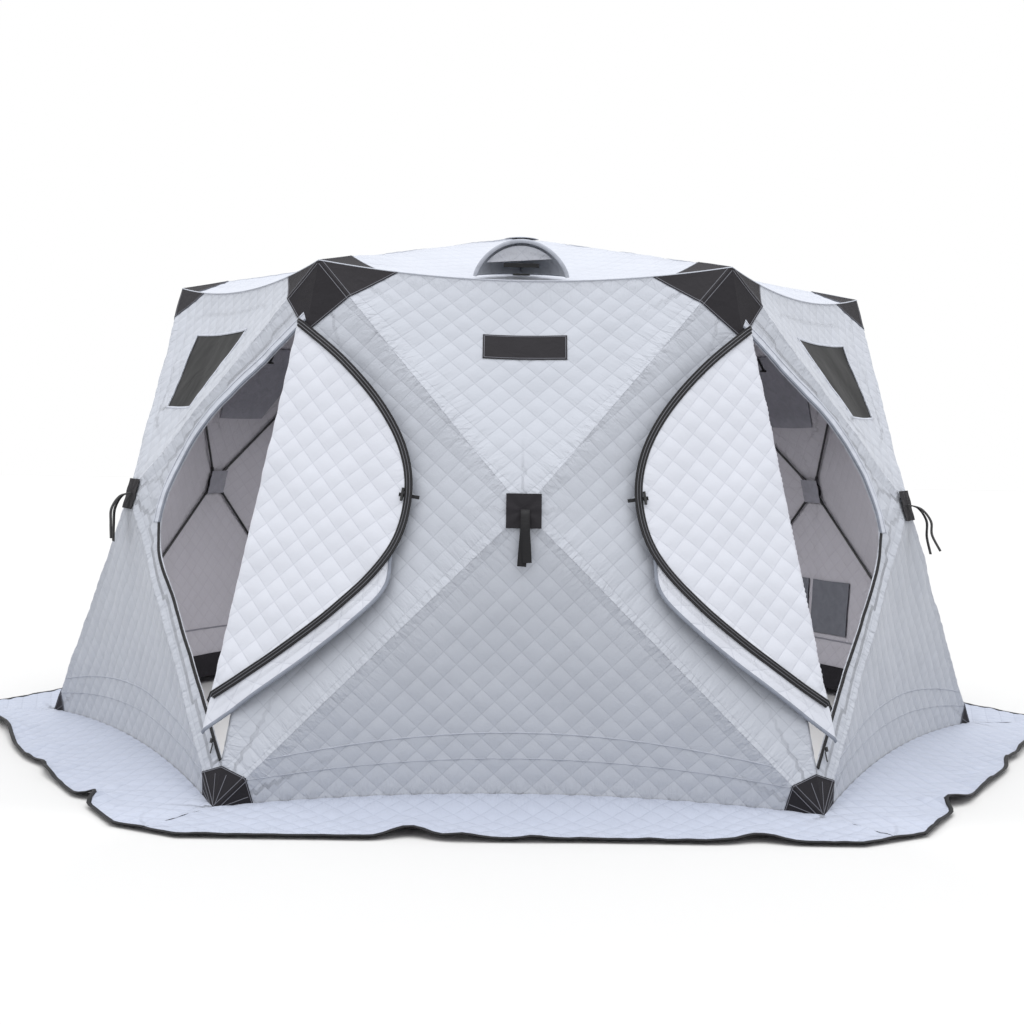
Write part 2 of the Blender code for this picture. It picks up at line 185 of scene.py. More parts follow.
def metre_uv(
    tree: bpy.types.NodeTree,
) -> tuple[bpy.types.NodeSocket, bpy.types.NodeSocket, bpy.types.NodeSocket]:
    """The cloth's own coordinates in metres.

    Returns:
        The vector and its two components.
    """
    uv = add_node(tree, "UVMap", uv_map="metres")
    split = add_node(tree, "SeparateXYZ", Vector=uv.outputs["UV"])
    return uv.outputs["UV"], split.outputs[0], split.outputs[1]


@dataclass(frozen=True)
class QuiltedCloth(Finish):
    """Oxford polyester quilted in squares set on the diagonal, lightly puckered along its stitching."""

    # shade: the colour that the stitched grooves are darkened towards, painted shade in the grooves
    shade: str = "9aa3ae"
    cell: float = 0.054
    puff: float = 0.0022
    crinkle: float = 0.0011
    gather: float = 0.011

    def dress(self, tree: bpy.types.NodeTree, shader: bpy.types.Node) -> None:
        """Stitch lines with painted shade darkening their grooves, puffed squares, puckers, tucks gathered along the
        seams and a fine weave.
        """
        vector, along, up = metre_uv(tree)
        scale = math.pi / (self.cell * math.sqrt(2))
        waves = []
        for operation in ("ADD", "SUBTRACT"):
            mixed = maths(tree, "MULTIPLY", maths(tree, operation, along, up), scale)
            waves.append(maths(tree, "ABSOLUTE", maths(tree, "SINE", mixed)))
        product = maths(tree, "MULTIPLY", waves[0], waves[1])
        puff = maths(tree, "POWER", product, 0.45)
        nearest = maths(tree, "MINIMUM", waves[0], waves[1])
        stitch = add_node(tree, "MapRange", Value=nearest, From_Min=0.0, From_Max=0.11, To_Min=1.0, To_Max=0.0)
        pucker_place = add_node(tree, "Mapping", Vector=vector, Scale=(1.0, 1.0, 1.0))
        pucker = add_node(tree, "TexNoise", Vector=pucker_place.outputs[0], Scale=55.0, Detail=5.0, Distortion=1.4)
        weave = add_node(tree, "TexNoise", Vector=vector, Scale=900.0, Detail=2.0)
        broad = add_node(tree, "TexNoise", Vector=vector, Scale=5.0, Detail=3.0)
        raised = maths(tree, "MULTIPLY", puff, self.puff)
        ruffled = maths(tree, "MULTIPLY", pucker.outputs[0], self.crinkle)
        woven = maths(tree, "MULTIPLY", weave.outputs[0], 0.00012)
        edge = add_node(tree, "UVMap", uv_map="gather")
        edge_split = add_node(tree, "SeparateXYZ", Vector=edge.outputs["UV"])
        reach = add_node(tree, "CombineXYZ", X=maths(tree, "MULTIPLY", edge_split.outputs[0], 2.2))
        tree.links.new(maths(tree, "MULTIPLY", edge_split.outputs[1], 62.0), reach.inputs[1])
        tucks = add_node(tree, "TexNoise", Vector=reach.outputs[0], Scale=1.0, Detail=3.0, Distortion=0.6)
        drawn = maths(tree, "MULTIPLY", maths(tree, "MULTIPLY", tucks.outputs[0], edge_split.outputs[0]), self.gather)
        height = maths(tree, "ADD", maths(tree, "ADD", raised, ruffled), maths(tree, "ADD", woven, drawn))
        bump = add_node(tree, "Bump", Height=height, Distance=1.0, Strength=0.85)
        tree.links.new(bump.outputs[0], shader.inputs["Normal"])
        base = linear(self.colour)
        tone = add_node(tree, "Mix", data_type="RGBA", in_0=broad.outputs[0])
        tone.inputs[6].default_value = tuple(c * 0.94 for c in base[:3]) + (1.0,)
        tone.inputs[7].default_value = tuple(min(1.0, c * 1.05) for c in base[:3]) + (1.0,)
        # painted shade: the colour darkens towards the shade colour along the stitched grooves, most on the stitch
        # line
        line = maths(tree, "MULTIPLY", stitch.outputs[0], 0.4)
        colour = add_node(tree, "Mix", data_type="RGBA", in_0=line)
        tree.links.new(tone.outputs[2], colour.inputs[6])
        colour.inputs[7].default_value = linear(self.shade)
        tree.links.new(colour.outputs[2], shader.inputs["Base Color"])
        shader.inputs["Sheen Weight"].default_value = 0.12
        shader.inputs["Sheen Roughness"].default_value = 0.4


@dataclass(frozen=True)
class WovenCloth(Finish):
    """Plain woven cloth or webbing, with its ribs across the strap."""

    ribs: float = 420.0
    depth: float = 0.0003

    def dress(self, tree: bpy.types.NodeTree, shader: bpy.types.Node) -> None:
        """A woven rib and soft creases, with painted shade: the colour is darker in the creases' hollows and lighter
        on their ridges.
        """
        vector, _along, _up = metre_uv(tree)
        weave = add_node(tree, "TexWave", Vector=vector, Scale=self.ribs / 6.283, Distortion=1.5, Detail=1.0)
        crease_and_shade = add_node(tree, "TexNoise", Vector=vector, Scale=26.0, Detail=4.0, Distortion=0.8)
        woven = maths(tree, "MULTIPLY", weave.outputs["Fac"], self.depth)
        creased = maths(tree, "MULTIPLY", crease_and_shade.outputs[0], 0.0028)
        bump = add_node(tree, "Bump", Height=maths(tree, "ADD", woven, creased), Distance=1.0, Strength=0.8)
        tree.links.new(bump.outputs[0], shader.inputs["Normal"])
        base = linear(self.colour)
        # painted shade and light: the colour follows the creases' height, darker in their hollows and lighter on
        # their ridges
        tone = add_node(tree, "Mix", data_type="RGBA", in_0=crease_and_shade.outputs[0])
        tone.inputs[6].default_value = tuple(c * 0.8 for c in base[:3]) + (1.0,)
        tone.inputs[7].default_value = tuple(min(1.0, c * 1.25) for c in base[:3]) + (1.0,)
        tree.links.new(tone.outputs[2], shader.inputs["Base Color"])
        shader.inputs["Specular IOR Level"].default_value = 0.3


@dataclass(frozen=True)
class ClearVinyl(Finish):
    """Clear vinyl painted near black, the dim inside seen through it painted in as shade; glossy and slightly wavy.
    """

    def dress(self, tree: bpy.types.NodeTree, shader: bpy.types.Node) -> None:
        """A soft ripple under a low gloss."""
        vector, _along, _up = metre_uv(tree)
        ripple = add_node(tree, "TexNoise", Vector=vector, Scale=9.0, Detail=2.0, Distortion=0.6)
        bump = add_node(tree, "Bump", Height=ripple.outputs[0], Distance=0.006, Strength=0.6)
        tree.links.new(bump.outputs[0], shader.inputs["Normal"])
        shader.inputs["Specular IOR Level"].default_value = 0.2


@dataclass(frozen=True)
class MouldedPart(Finish):
    """Moulded nylon or coated rod, with a fine grain and small scuffs."""

    grain: float = 400.0

    def dress(self, tree: bpy.types.NodeTree, shader: bpy.types.Node) -> None:
        """A moulded grain and a slight change of gloss."""
        place = add_node(tree, "TexCoord").outputs["Object"]
        grain = add_node(tree, "TexNoise", Vector=place, Scale=self.grain, Detail=3.0)
        scuff = add_node(tree, "TexNoise", Vector=place, Scale=30.0, Detail=4.0)
        bump = add_node(tree, "Bump", Height=grain.outputs[0], Distance=0.0003, Strength=0.5)
        tree.links.new(bump.outputs[0], shader.inputs["Normal"])
        rough = add_node(tree, "MapRange", Value=scuff.outputs[0], To_Min=self.roughness - 0.1)
        rough.inputs["To Max"].default_value = self.roughness + 0.12
        tree.links.new(rough.outputs[0], shader.inputs["Roughness"])


# thin wadding under a plain woven face; the weave is assumed
SHELL = QuiltedCloth("silver_quilted_oxford", "a6aab3", 0.72, shade="858993", cell=0.060)
SKIRT_CLOTH = QuiltedCloth("skirt_quilted_oxford", "9fa5b4", 0.72, shade="7f8797", cell=0.060, puff=0.003)
# painted light: the roof's cloth is the walls' cloth coloured lighter, standing in for the light from above
LIT_ROOF_CLOTH = QuiltedCloth("roof_quilted_oxford", "aeb2bc", 0.72, shade="8f949e", cell=0.060)
# painted shade: the lining's grey is the inside's colour as seen in shade
SHADED_LINING = QuiltedCloth("grey_quilted_lining", "a3a1a8", 0.85, shade="8d8b92", crinkle=0.0006)
DOOR_LINING = QuiltedCloth(
    "white_quilted_lining", "bec1ca", 0.8, shade="a0a4b0", cell=0.062, crinkle=0.0008, gather=0.003
)
# a heavier plain weave than the walls; the weave is assumed
BLACK_CLOTH = WovenCloth("black_oxford_patch", "19171c", 0.75, ribs=900.0)
WEBBING = WovenCloth("black_polypropylene_webbing", "131316", 0.65)
GREY_BINDING = WovenCloth("grey_binding_tape", "767b86", 0.8)
SEAM_TAPE = WovenCloth("seam_tape", "9a9ea8", 0.8)
FACING = WovenCloth("silver_facing_tape", "b2b6c0", 0.75, ribs=1100.0)
THREAD = Finish("pale_thread", "66676e", 0.9)
ZIP_TAPE = WovenCloth("black_zip_tape", "141417", 0.6, ribs=1300.0)
ZIP_COIL = MouldedPart("nylon_zip_coil", "55565c", 0.35)
NYLON = MouldedPart("black_moulded_nylon", "17181a", 0.45)
ROD = MouldedPart("black_fibreglass_rod", "141416", 0.4)
# painted shade: the pane is opaque and near black, standing in for the dim inside seen through clear vinyl
SHADED_VINYL = ClearVinyl("smoked_vinyl", "0c0d0f", 0.5)
INNER_PATCH = WovenCloth("grey_oxford_patch", "7c7c84", 0.8, ribs=900.0)
MESH_POCKET = WovenCloth("grey_mesh_pocket", "5f6168", 0.85, ribs=600.0)


@dataclass(frozen=True)
class Ripples:
    """Soft waves over the cloth, the same every time."""

    seed: int
    wavelength: float
    count: int = 14

    def at(self, x: Points, y: Points) -> Points:
        """The waves' height, about -1 to 1, at points of the cloth."""
        random = np.random.default_rng(self.seed)
        total = np.zeros_like(x)
        for _ in range(self.count):
            heading = random.uniform(0, 2 * math.pi)
            rate = 2 * math.pi / (self.wavelength * random.uniform(0.6, 1.6))
            phase = random.uniform(0, 2 * math.pi)
            total += np.sin(rate * (x * math.cos(heading) + y * math.sin(heading)) + phase)
        return total / math.sqrt(self.count) / 1.4


@dataclass(frozen=True)
class Shelter:
    """The shelter's driving sizes, as the frame has them, and the shapes that follow from them."""

    base_radius: float = 2.00
    eave_radius: float = 1.45
    eave_height: float = 1.84
    roof_rise: float = 0.24
    hub_bulge: float = 0.213
    hub_up_wall: float = 0.968
    plateau: float = 0.06
    eave_sag: float = 0.060
    foot_lift: float = 0.045
    foot_draw: float = 0.050
    corner_draw: float = 0.055
    door_corner_draw: float = 0.010
    facet_sag: float = 0.016
    blend_reach: float = 1 / 0.92  # how far the blend would reach past the hub, meant to keep pushed-in cloth outside its straight poles; the blend does not use it
    foot_level: float = 0.006

    @property
    def flat(self) -> float:
        """Inradius over circumradius of the hexagon."""
        return math.cos(math.pi / 6)

    @property
    def half_base(self) -> float:
        """Half a wall's width at its foot."""
        return self.base_radius / 2

    @property
    def half_eave(self) -> float:
        """Half a wall's width at the eave."""
        return self.eave_radius / 2

    @property
    def lean(self) -> float:
        """The wall's lean from upright."""
        return math.atan2((self.base_radius - self.eave_radius) * self.flat, self.eave_height)

    @property
    def wall_length(self) -> float:
        """The wall's length up its slope."""
        return self.eave_height / math.cos(self.lean)

    def axes(self, wall: Wall) -> tuple[Points, Points, Points, Points]:
        """A wall's origin and its axes along, up and outwards."""
        turn = math.radians(wall.value)
        radial = np.array((math.cos(turn), math.sin(turn), 0.0))
        along = np.array((-math.sin(turn), math.cos(turn), 0.0))
        up = UP * math.cos(self.lean) - radial * math.sin(self.lean)
        out = UP * math.sin(self.lean) + radial * math.cos(self.lean)
        return radial * self.base_radius * self.flat, along, up, out

    def to_world(self, wall: Wall, local: Points) -> Points:
        """Points in a wall's axes, in the row frame."""
        origin, along, up, out = self.axes(wall)
        return origin + np.outer(local[:, 0], along) + np.outer(local[:, 1], up) + np.outer(local[:, 2], out)

    def corner(self, side: int, top: bool) -> Points:
        """A corner of the wall, in its axes."""
        if top:
            return np.array((side * self.half_eave, self.wall_length, 0.0))
        return np.array((side * self.half_base, 0.0, 0.0))

    def hub(self) -> Points:
        """The hub's place under the cloth's peak, in the wall's axes."""
        return np.array((0.0, self.hub_up_wall, self.hub_bulge))

    def side_facet(self, side: int) -> tuple[Points, Points, Points, Points]:
        """A side panel's origin at the foot corner and its axes across, up the corner line and outwards."""
        foot = self.corner(side, False)
        up = self.corner(side, True) - foot
        up = up / np.linalg.norm(up)
        flat = self.hub() * (1, 1, 0)
        reach = flat + (foot - flat) * self.plateau + (0, 0, self.hub_bulge) - foot
        across = reach - up * (reach @ up)
        across = across / np.linalg.norm(across)
        out = np.cross(across, up)
        return foot, across, up, out if out[2] > 0 else -out

    def facet_points(self, wall: Wall, side: int, points: Points) -> Points:
        """Points (across, up, outwards) of a side panel, in the row frame."""
        foot, across, up, out = self.side_facet(side)
        local = foot + np.outer(points[:, 0], across) + np.outer(points[:, 1], up) + np.outer(points[:, 2], out)
        return self.to_world(wall, local)

    def corner_radial(self, wall: Wall, side: int) -> Points:
        """The outward direction at one of a wall's two corner lines."""
        turn = math.radians(wall.value + 30 * side)
        return np.array((math.cos(turn), math.sin(turn), 0.0))

    def corner_bow(self, wall: Wall, side: int) -> Points:
        """How far the corner line is drawn in half way up."""
        azimuth = (wall.value + 30 * side) % 360
        draw = self.door_corner_draw if azimuth in (240, 300) else self.corner_draw
        return -self.corner_radial(wall, side) * draw

    def edge_bow(self, wall: Wall, sector: Sector) -> Points:
        """How far the middle of a sector's outer edge is pulled out of line."""
        turn = math.radians(wall.value)
        radial = np.array((math.cos(turn), math.sin(turn), 0.0))
        if sector is Sector.TOP:
            return -UP * self.eave_sag
        if sector is Sector.BOTTOM:
            return UP * self.foot_lift - radial * self.foot_draw
        return self.corner_bow(wall, 1 if sector is Sector.RIGHT else -1)


@dataclass(frozen=True)
class WallCloth:
    """The shape of the cloth on one wall."""

    shelter: Shelter
    wall: Wall

    def sides(self, x: Points, y: Points) -> dict[Sector, Points]:
        """For each sector, 0 at the hub and 1 at its outer edge."""
        s = self.shelter
        slope = (s.half_eave - s.half_base) / s.wall_length
        reach = s.half_base + slope * s.hub_up_wall
        return {
            Sector.BOTTOM: (s.hub_up_wall - y) / s.hub_up_wall,
            Sector.TOP: (y - s.hub_up_wall) / (s.wall_length - s.hub_up_wall),
            Sector.RIGHT: 1 - (s.half_base + slope * y - x) / reach,
            Sector.LEFT: 1 - (s.half_base + slope * y + x) / reach,
        }

    def shape(self, sector: Sector, x: Points, y: Points, lift: float = 0.0) -> Points:
        """The cloth's place over its poles.

        Args:
            sector: the panel that the points are on.
            x: distance along the wall.
            y: distance up the wall.
            lift: distance outwards from the cloth's own surface.

        Returns:
            Points in the row frame.
        """
        s = self.shelter
        rho = np.clip(self.sides(x, y)[sector], 1e-6, 1.0)
        peak = s.hub_bulge * np.minimum(1.0, (1 - rho) / (1 - s.plateau))
        ends_x, ends_y = x / rho, s.hub_up_wall + (y - s.hub_up_wall) / rho
        if sector in (Sector.BOTTOM, Sector.TOP):
            half = s.half_base if sector is Sector.BOTTOM else s.half_eave
            share = np.clip((ends_x + half) / (2 * half), 0, 1)
        else:
            share = np.clip(ends_y / s.wall_length, 0, 1)
        span = 4 * share * (1 - share)
        sag = s.facet_sag * 27 / 4 * span * rho**2 * (1 - rho)
        wave = Ripples(int(self.wall.value) + 200, 0.34).at(x, y) * 0.004 * (1 - rho**6)
        fine = Ripples(int(self.wall.value) + 500, 0.11).at(x, y) * 0.0012 * (1 - rho**8)
        local = np.stack((x, y, peak - sag + wave + fine + lift - 0.004), axis=1)
        world = s.to_world(self.wall, local) + np.outer(span * rho**2, s.edge_bow(self.wall, sector))
        world[:, 2] = np.maximum(world[:, 2], s.foot_level)
        return world

    def blend(self, piece: bpy.types.Object, sector: Sector) -> None:
        """Bakes a panel's placement into its points; the ends it works out from its outer edge to the hub are not
        used.
        """
        s = self.shelter
        hub = s.hub()
        if sector in (Sector.BOTTOM, Sector.TOP):
            edge = np.array((0.0, 0.0 if sector is Sector.BOTTOM else s.wall_length, 0.0))
        else:
            side = 1 if sector is Sector.RIGHT else -1
            foot, top = s.corner(side, False), s.corner(side, True)
            run = (top - foot) / np.linalg.norm(top - foot)
            edge = foot + run * ((hub * (1, 1, 0) - foot) @ run)
        ends = s.to_world(self.wall, np.stack((edge, edge + (hub * (1, 1, 0) - edge) * s.blend_reach)))
        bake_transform(piece)


def lattice(outline: Outline, pitch: float, turn: float, holes: Sequence[Outline] = ()) -> bmesh.types.BMesh:
    """A fine flat lattice of squares trimmed to a convex outline.

    Args:
        outline: the convex outline, anticlockwise.
        pitch: the squares' side.
        turn: the lattice's turn in radians.
        holes: convex outlines to cut out.

    Returns:
        The trimmed lattice.
    """
    ring = np.array(outline)
    turned = ring @ np.array(((math.cos(turn), -math.sin(turn)), (math.sin(turn), math.cos(turn))))
    low = np.floor(turned.min(axis=0) / pitch).astype(int) - 1
    high = np.ceil(turned.max(axis=0) / pitch).astype(int) + 1
    bm = bmesh.new()
    columns = []
    for i in range(low[0], high[0] + 1):
        column = []
        for j in range(low[1], high[1] + 1):
            a, b = i * pitch, j * pitch
            spot = (a * math.cos(turn) - b * math.sin(turn), a * math.sin(turn) + b * math.cos(turn), 0.0)
            column.append(bm.verts.new(spot))
        columns.append(column)
    for left, right in zip(columns, columns[1:]):
        for j in range(len(left) - 1):
            bm.faces.new((left[j], right[j], right[j + 1], left[j + 1]))
    for start, stop in zip(outline, [*outline[1:], outline[0]]):
        run = Vector((stop[0] - start[0], stop[1] - start[1], 0.0))
        outward = Vector((run.y, -run.x, 0.0))
        everything = bm.verts[:] + bm.edges[:] + bm.faces[:]
        bmesh.ops.bisect_plane(
            bm, geom=everything, dist=1e-6, plane_co=(*start, 0.0), plane_no=outward, clear_outer=True
        )
    for hole in holes:
        cut_hole(bm, hole, pitch)
    return bm


def inside(hole: Outline, point: Vector) -> bool:
    """Whether a point lies inside a convex anticlockwise outline."""
    for start, stop in zip(hole, [*hole[1:], hole[0]]):
        if (stop[0] - start[0]) * (point.y - start[1]) - (stop[1] - start[1]) * (point.x - start[0]) < 0:
            return False
    return True


def cut_hole(bm: bmesh.types.BMesh, hole: Outline, pitch: float) -> None:
    """Cuts a convex hole through a flat lattice.

    Args:
        bm: the lattice.
        hole: the hole's outline, anticlockwise.
        pitch: the lattice's pitch.
    """
    for start, stop in zip(hole, [*hole[1:], hole[0]]):
        a, b = Vector((*start, 0.0)), Vector((*stop, 0.0))
        run = (b - a).normalized()
        length = (b - a).length
        near = []
        for face in bm.faces:
            reach = face.calc_center_median() - a
            share = reach.dot(run)
            if -2 * pitch < share < length + 2 * pitch and abs(reach.x * run.y - reach.y * run.x) < 2 * pitch:
                near.append(face)
        geom = set(near)
        for face in near:
            geom.update(face.edges)
            geom.update(face.verts)
        outward = Vector((run.y, -run.x, 0.0))
        bmesh.ops.bisect_plane(bm, geom=list(geom), dist=1e-6, plane_co=a, plane_no=outward)
    gone = [face for face in bm.faces if inside(hole, face.calc_center_median())]
    bmesh.ops.delete(bm, geom=gone, context="FACES")


@dataclass
class Panel:
    """One cut of cloth: trimmed flat, shaped, padded and closed into a thin solid sheet."""

    name: str
    outline: Outline
    place: Callable[[Points, Points], Points]
    face: Finish
    back: Finish
    edge: Finish
    pitch: float = 0.0135
    turn: float = math.pi / 4
    thickness: float = 0.005
    puff: float = 0.0022
    cell: float = 0.060
    holes: Sequence[Outline] = ()
    flip: bool = False
    held: str = "stretched"
    rests_on: Sequence[str] = ()

    def make(self) -> bpy.types.Object:
        """Builds the panel.

        Returns:
            The finished piece, not yet riding on anything.
        """
        bm = lattice(self.outline, self.pitch, self.turn, self.holes)
        bmesh.ops.remove_doubles(bm, verts=bm.verts, dist=1e-5)
        bm.verts.index_update()
        flat = np.array([v.co[:2] for v in bm.verts])
        faces = [[v.index for v in f.verts] for f in bm.faces]
        if faces and bm.faces[:][0].normal.z < 0:
            faces = [face[::-1] for face in faces]
        bm.free()
        middle = self.place(flat[:, 0], flat[:, 1])
        if self.flip:
            faces = [face[::-1] for face in faces]
        normals = self.normals(middle, faces)
        raise_by = self.puffed(flat)
        outer = middle + normals * raise_by[:, None]
        inner = middle - normals * (self.thickness + raise_by * 0.7)[:, None]
        piece = closed_sheet(self.name, flat, faces, outer, inner, self.gathered(flat))
        for finish in (self.face, self.back, self.edge):
            piece.data.materials.append(finish.build())
        smallest_box(flat)
        return piece

    def gathered(self, flat: Points) -> Points:
        """For each point, how near it is to a sewn edge (1 on it) and how far along that edge it lies."""
        nearest = np.full(len(flat), 1e3)
        along = np.zeros(len(flat))
        number = 0
        for ring in (self.outline, *self.holes):
            for start, stop in zip(ring, [*ring[1:], ring[0]]):
                a, b = np.array(start), np.array(stop)
                length = max(1e-9, float(np.linalg.norm(b - a)))
                run = np.clip((flat - a) @ (b - a) / length, 0, length)
                apart = np.linalg.norm(flat - a - np.outer(run, (b - a) / length), axis=1)
                closer = apart < nearest
                nearest[closer] = apart[closer]
                along[closer] = run[closer] + number
                number += length
        return np.stack((np.exp(-nearest / 0.055), along), axis=1)

    def puffed(self, flat: Points) -> Points:
        """How far each point stands out of its stitching."""
        if self.puff <= 0:
            return np.zeros(len(flat))
        rate = math.pi / (self.cell * math.sqrt(2))
        first = np.abs(np.sin((flat[:, 0] + flat[:, 1]) * rate))
        second = np.abs(np.sin((flat[:, 0] - flat[:, 1]) * rate))
        return self.puff * (first * second) ** 0.5

    @staticmethod
    def normals(points: Points, faces: list[list[int]]) -> Points:
        """Vertex normals of a shaped sheet."""
        mesh = bpy.data.meshes.new("normals")
        mesh.from_pydata(points.tolist(), [], faces)
        mesh.update()
        found = np.zeros(len(points) * 3)
        mesh.vertex_normals.foreach_get("vector", found)
        bpy.data.meshes.remove(mesh)
        return found.reshape(-1, 3)


def run_length(line: Points) -> float:
    """The length of a line from point to point."""
    return float(np.linalg.norm(np.diff(line, axis=0), axis=1).sum())


def smallest_box(flat: Points) -> tuple[float, float]:
    """The sides of the smallest rectangle of cloth that a flat cut fits in."""
    hull = flat[convex_hull_2d([Vector(point) for point in flat.tolist()])]
    sizes = []
    for run_x, run_y in np.roll(hull, -1, axis=0) - hull:
        length = math.hypot(run_x, run_y)
        if length < 1e-6:
            continue
        turned = hull @ np.array(((run_x, -run_y), (run_y, run_x))) / length
        sizes.append(tuple(float(v) for v in np.ptp(turned, axis=0)))
    return min(sizes, key=lambda size: size[0] * size[1])


def closed_sheet(
    name: str, flat: Points, faces: list[list[int]], outer: Points, inner: Points, gather: Points | None = None
) -> bpy.types.Object:
    """Joins a face layer and a back layer round their rim.

    Args:
        name: the piece's name.
        flat: the cloth's own coordinates.
        faces: the face layer's faces.
        outer: the face layer's points.
        inner: the back layer's points.
        gather: nearness to a sewn edge and distance along it, for the tucks.

    Returns:
        The closed piece, with material 0 on its face, 1 on its back and 2 on its rim.
    """
    count = len(flat)
    seen: dict[tuple[int, int], int] = {}
    for face in faces:
        for a, b in zip(face, face[1:] + face[:1]):
            seen[(a, b)] = 1
    rim = [(b, a, a + count, b + count) for a, b in seen if (b, a) not in seen]
    backs = [[index + count for index in reversed(face)] for face in faces]
    mesh = bpy.data.meshes.new(name)
    mesh.from_pydata(np.concatenate((outer, inner)).tolist(), [], faces + backs + rim)
    kinds = np.zeros(len(mesh.polygons), np.int32)
    kinds[len(faces) : 2 * len(faces)] = 1
    kinds[2 * len(faces) :] = 2
    mesh.polygons.foreach_set("material_index", kinds)
    mesh.polygons.foreach_set("use_smooth", np.ones(len(mesh.polygons), bool))
    uv = mesh.uv_layers.new(name="metres")
    corners = np.zeros(len(mesh.loops), np.int32)
    mesh.loops.foreach_get("vertex_index", corners)
    uv.data.foreach_set("uv", flat[corners % count].astype(np.float32).ravel())
    if gather is not None:
        tucks = mesh.uv_layers.new(name="gather")
        tucks.data.foreach_set("uv", gather[corners % count].astype(np.float32).ravel())
    mesh.set_sharp_from_angle(angle=math.radians(60))
    mesh.update()
    return linked(bpy.data.objects.new(name, mesh))


def joined(name: str, pieces: Sequence[bpy.types.Object]) -> bpy.types.Object:
    """Joins small pieces of one kind, such as stitches, into one object."""
    with bpy.context.temp_override(active_object=pieces[0], selected_editable_objects=list(pieces)):
        bpy.ops.object.join()
    pieces[0].name = name
    return pieces[0]


def linked(piece: bpy.types.Object) -> bpy.types.Object:
    """Puts a new object in the scene and returns it."""
    bpy.context.scene.collection.objects.link(piece)
    return piece


@dataclass
class Strip:
    """A band, tape, piping or strap swept along a path in one closed solid."""

    name: str
    path: Points
    out: Points
    width: float
    thickness: float
    finish: Finish
    round_edge: bool = False

    def make(self) -> bpy.types.Object:
        """Sweeps the strip's section along its path.

        Returns:
            The finished piece, not yet riding on anything.
        """
        steps = 8
        if self.round_edge:
            turns = [2 * math.pi * i / steps for i in range(steps)]
            section = [(math.cos(t) * self.width / 2, math.sin(t) * self.thickness / 2) for t in turns]
        else:
            w, t = self.width / 2, self.thickness / 2
            section = [(-w, -t), (0, -t), (w, -t), (w, 0), (w * 0.94, t), (0, t), (-w * 0.94, t), (-w, 0)]
        points = np.asarray(self.path, float)
        outs = np.broadcast_to(np.asarray(self.out, float), points.shape)
        ahead = np.gradient(points, axis=0)
        ahead /= np.linalg.norm(ahead, axis=1)[:, None]
        across = np.cross(ahead, outs)
        across /= np.linalg.norm(across, axis=1)[:, None]
        upward = np.cross(across, ahead)
        travelled = np.concatenate(([0.0], np.cumsum(np.linalg.norm(np.diff(points, axis=0), axis=1))))
        verts, uvs, faces = [], [], []
        for i in range(len(points)):
            for a, b in section:
                verts.append(points[i] + across[i] * a + upward[i] * b)
                uvs.append((travelled[i], a))
        n = len(section)
        for i in range(len(points) - 1):
            for j in range(n):
                k = (j + 1) % n
                faces.append((i * n + j, i * n + k, (i + 1) * n + k, (i + 1) * n + j))
        faces.append(tuple(range(n))[::-1])
        last = (len(points) - 1) * n
        faces.append(tuple(range(last, last + n)))
        mesh = bpy.data.meshes.new(self.name)
        mesh.from_pydata([tuple(v) for v in verts], [], faces)
        uv = mesh.uv_layers.new(name="metres")
        for loop in mesh.loops:
            uv.data[loop.index].uv = uvs[loop.vertex_index]
        bm = bmesh.new()
        bm.from_mesh(mesh)
        bmesh.ops.recalc_face_normals(bm, faces=bm.faces)
        bm.to_mesh(mesh)
        bm.free()
        mesh.shade_smooth()
        mesh.set_sharp_from_angle(angle=math.radians(50))
        mesh.materials.append(self.finish.build())
        return linked(bpy.data.objects.new(self.name, mesh))


def smooth_line(points: Sequence[Sequence[float]], steps: int = 8, closed: bool = False) -> Points:
    """A Catmull-Rom line through given points.

    Args:
        points: the points to pass through.
        steps: stretches between neighbouring points.
        closed: whether the line returns to its start.

    Returns:
        The finer points.
    """
    given = np.asarray(points, float)
    if closed:
        around = np.concatenate((given[-1:], given, given[:2]))
    else:
        around = np.concatenate((given[:1] * 2 - given[1:2], given, given[-1:] * 2 - given[-2:-1]))
    line = []
    for i in range(1, len(around) - 2):
        p0, p1, p2, p3 = around[i - 1 : i + 3]
        for step in range(steps):
            t = step / steps
            line.append(
                0.5
                * (
                    2 * p1
                    + (p2 - p0) * t
                    + (2 * p0 - 5 * p1 + 4 * p2 - p3) * t**2
                    + (3 * p1 - p0 - 3 * p2 + p3) * t**3
                )
            )
    if not closed:
        line.append(given[-1])
    return np.array(line)


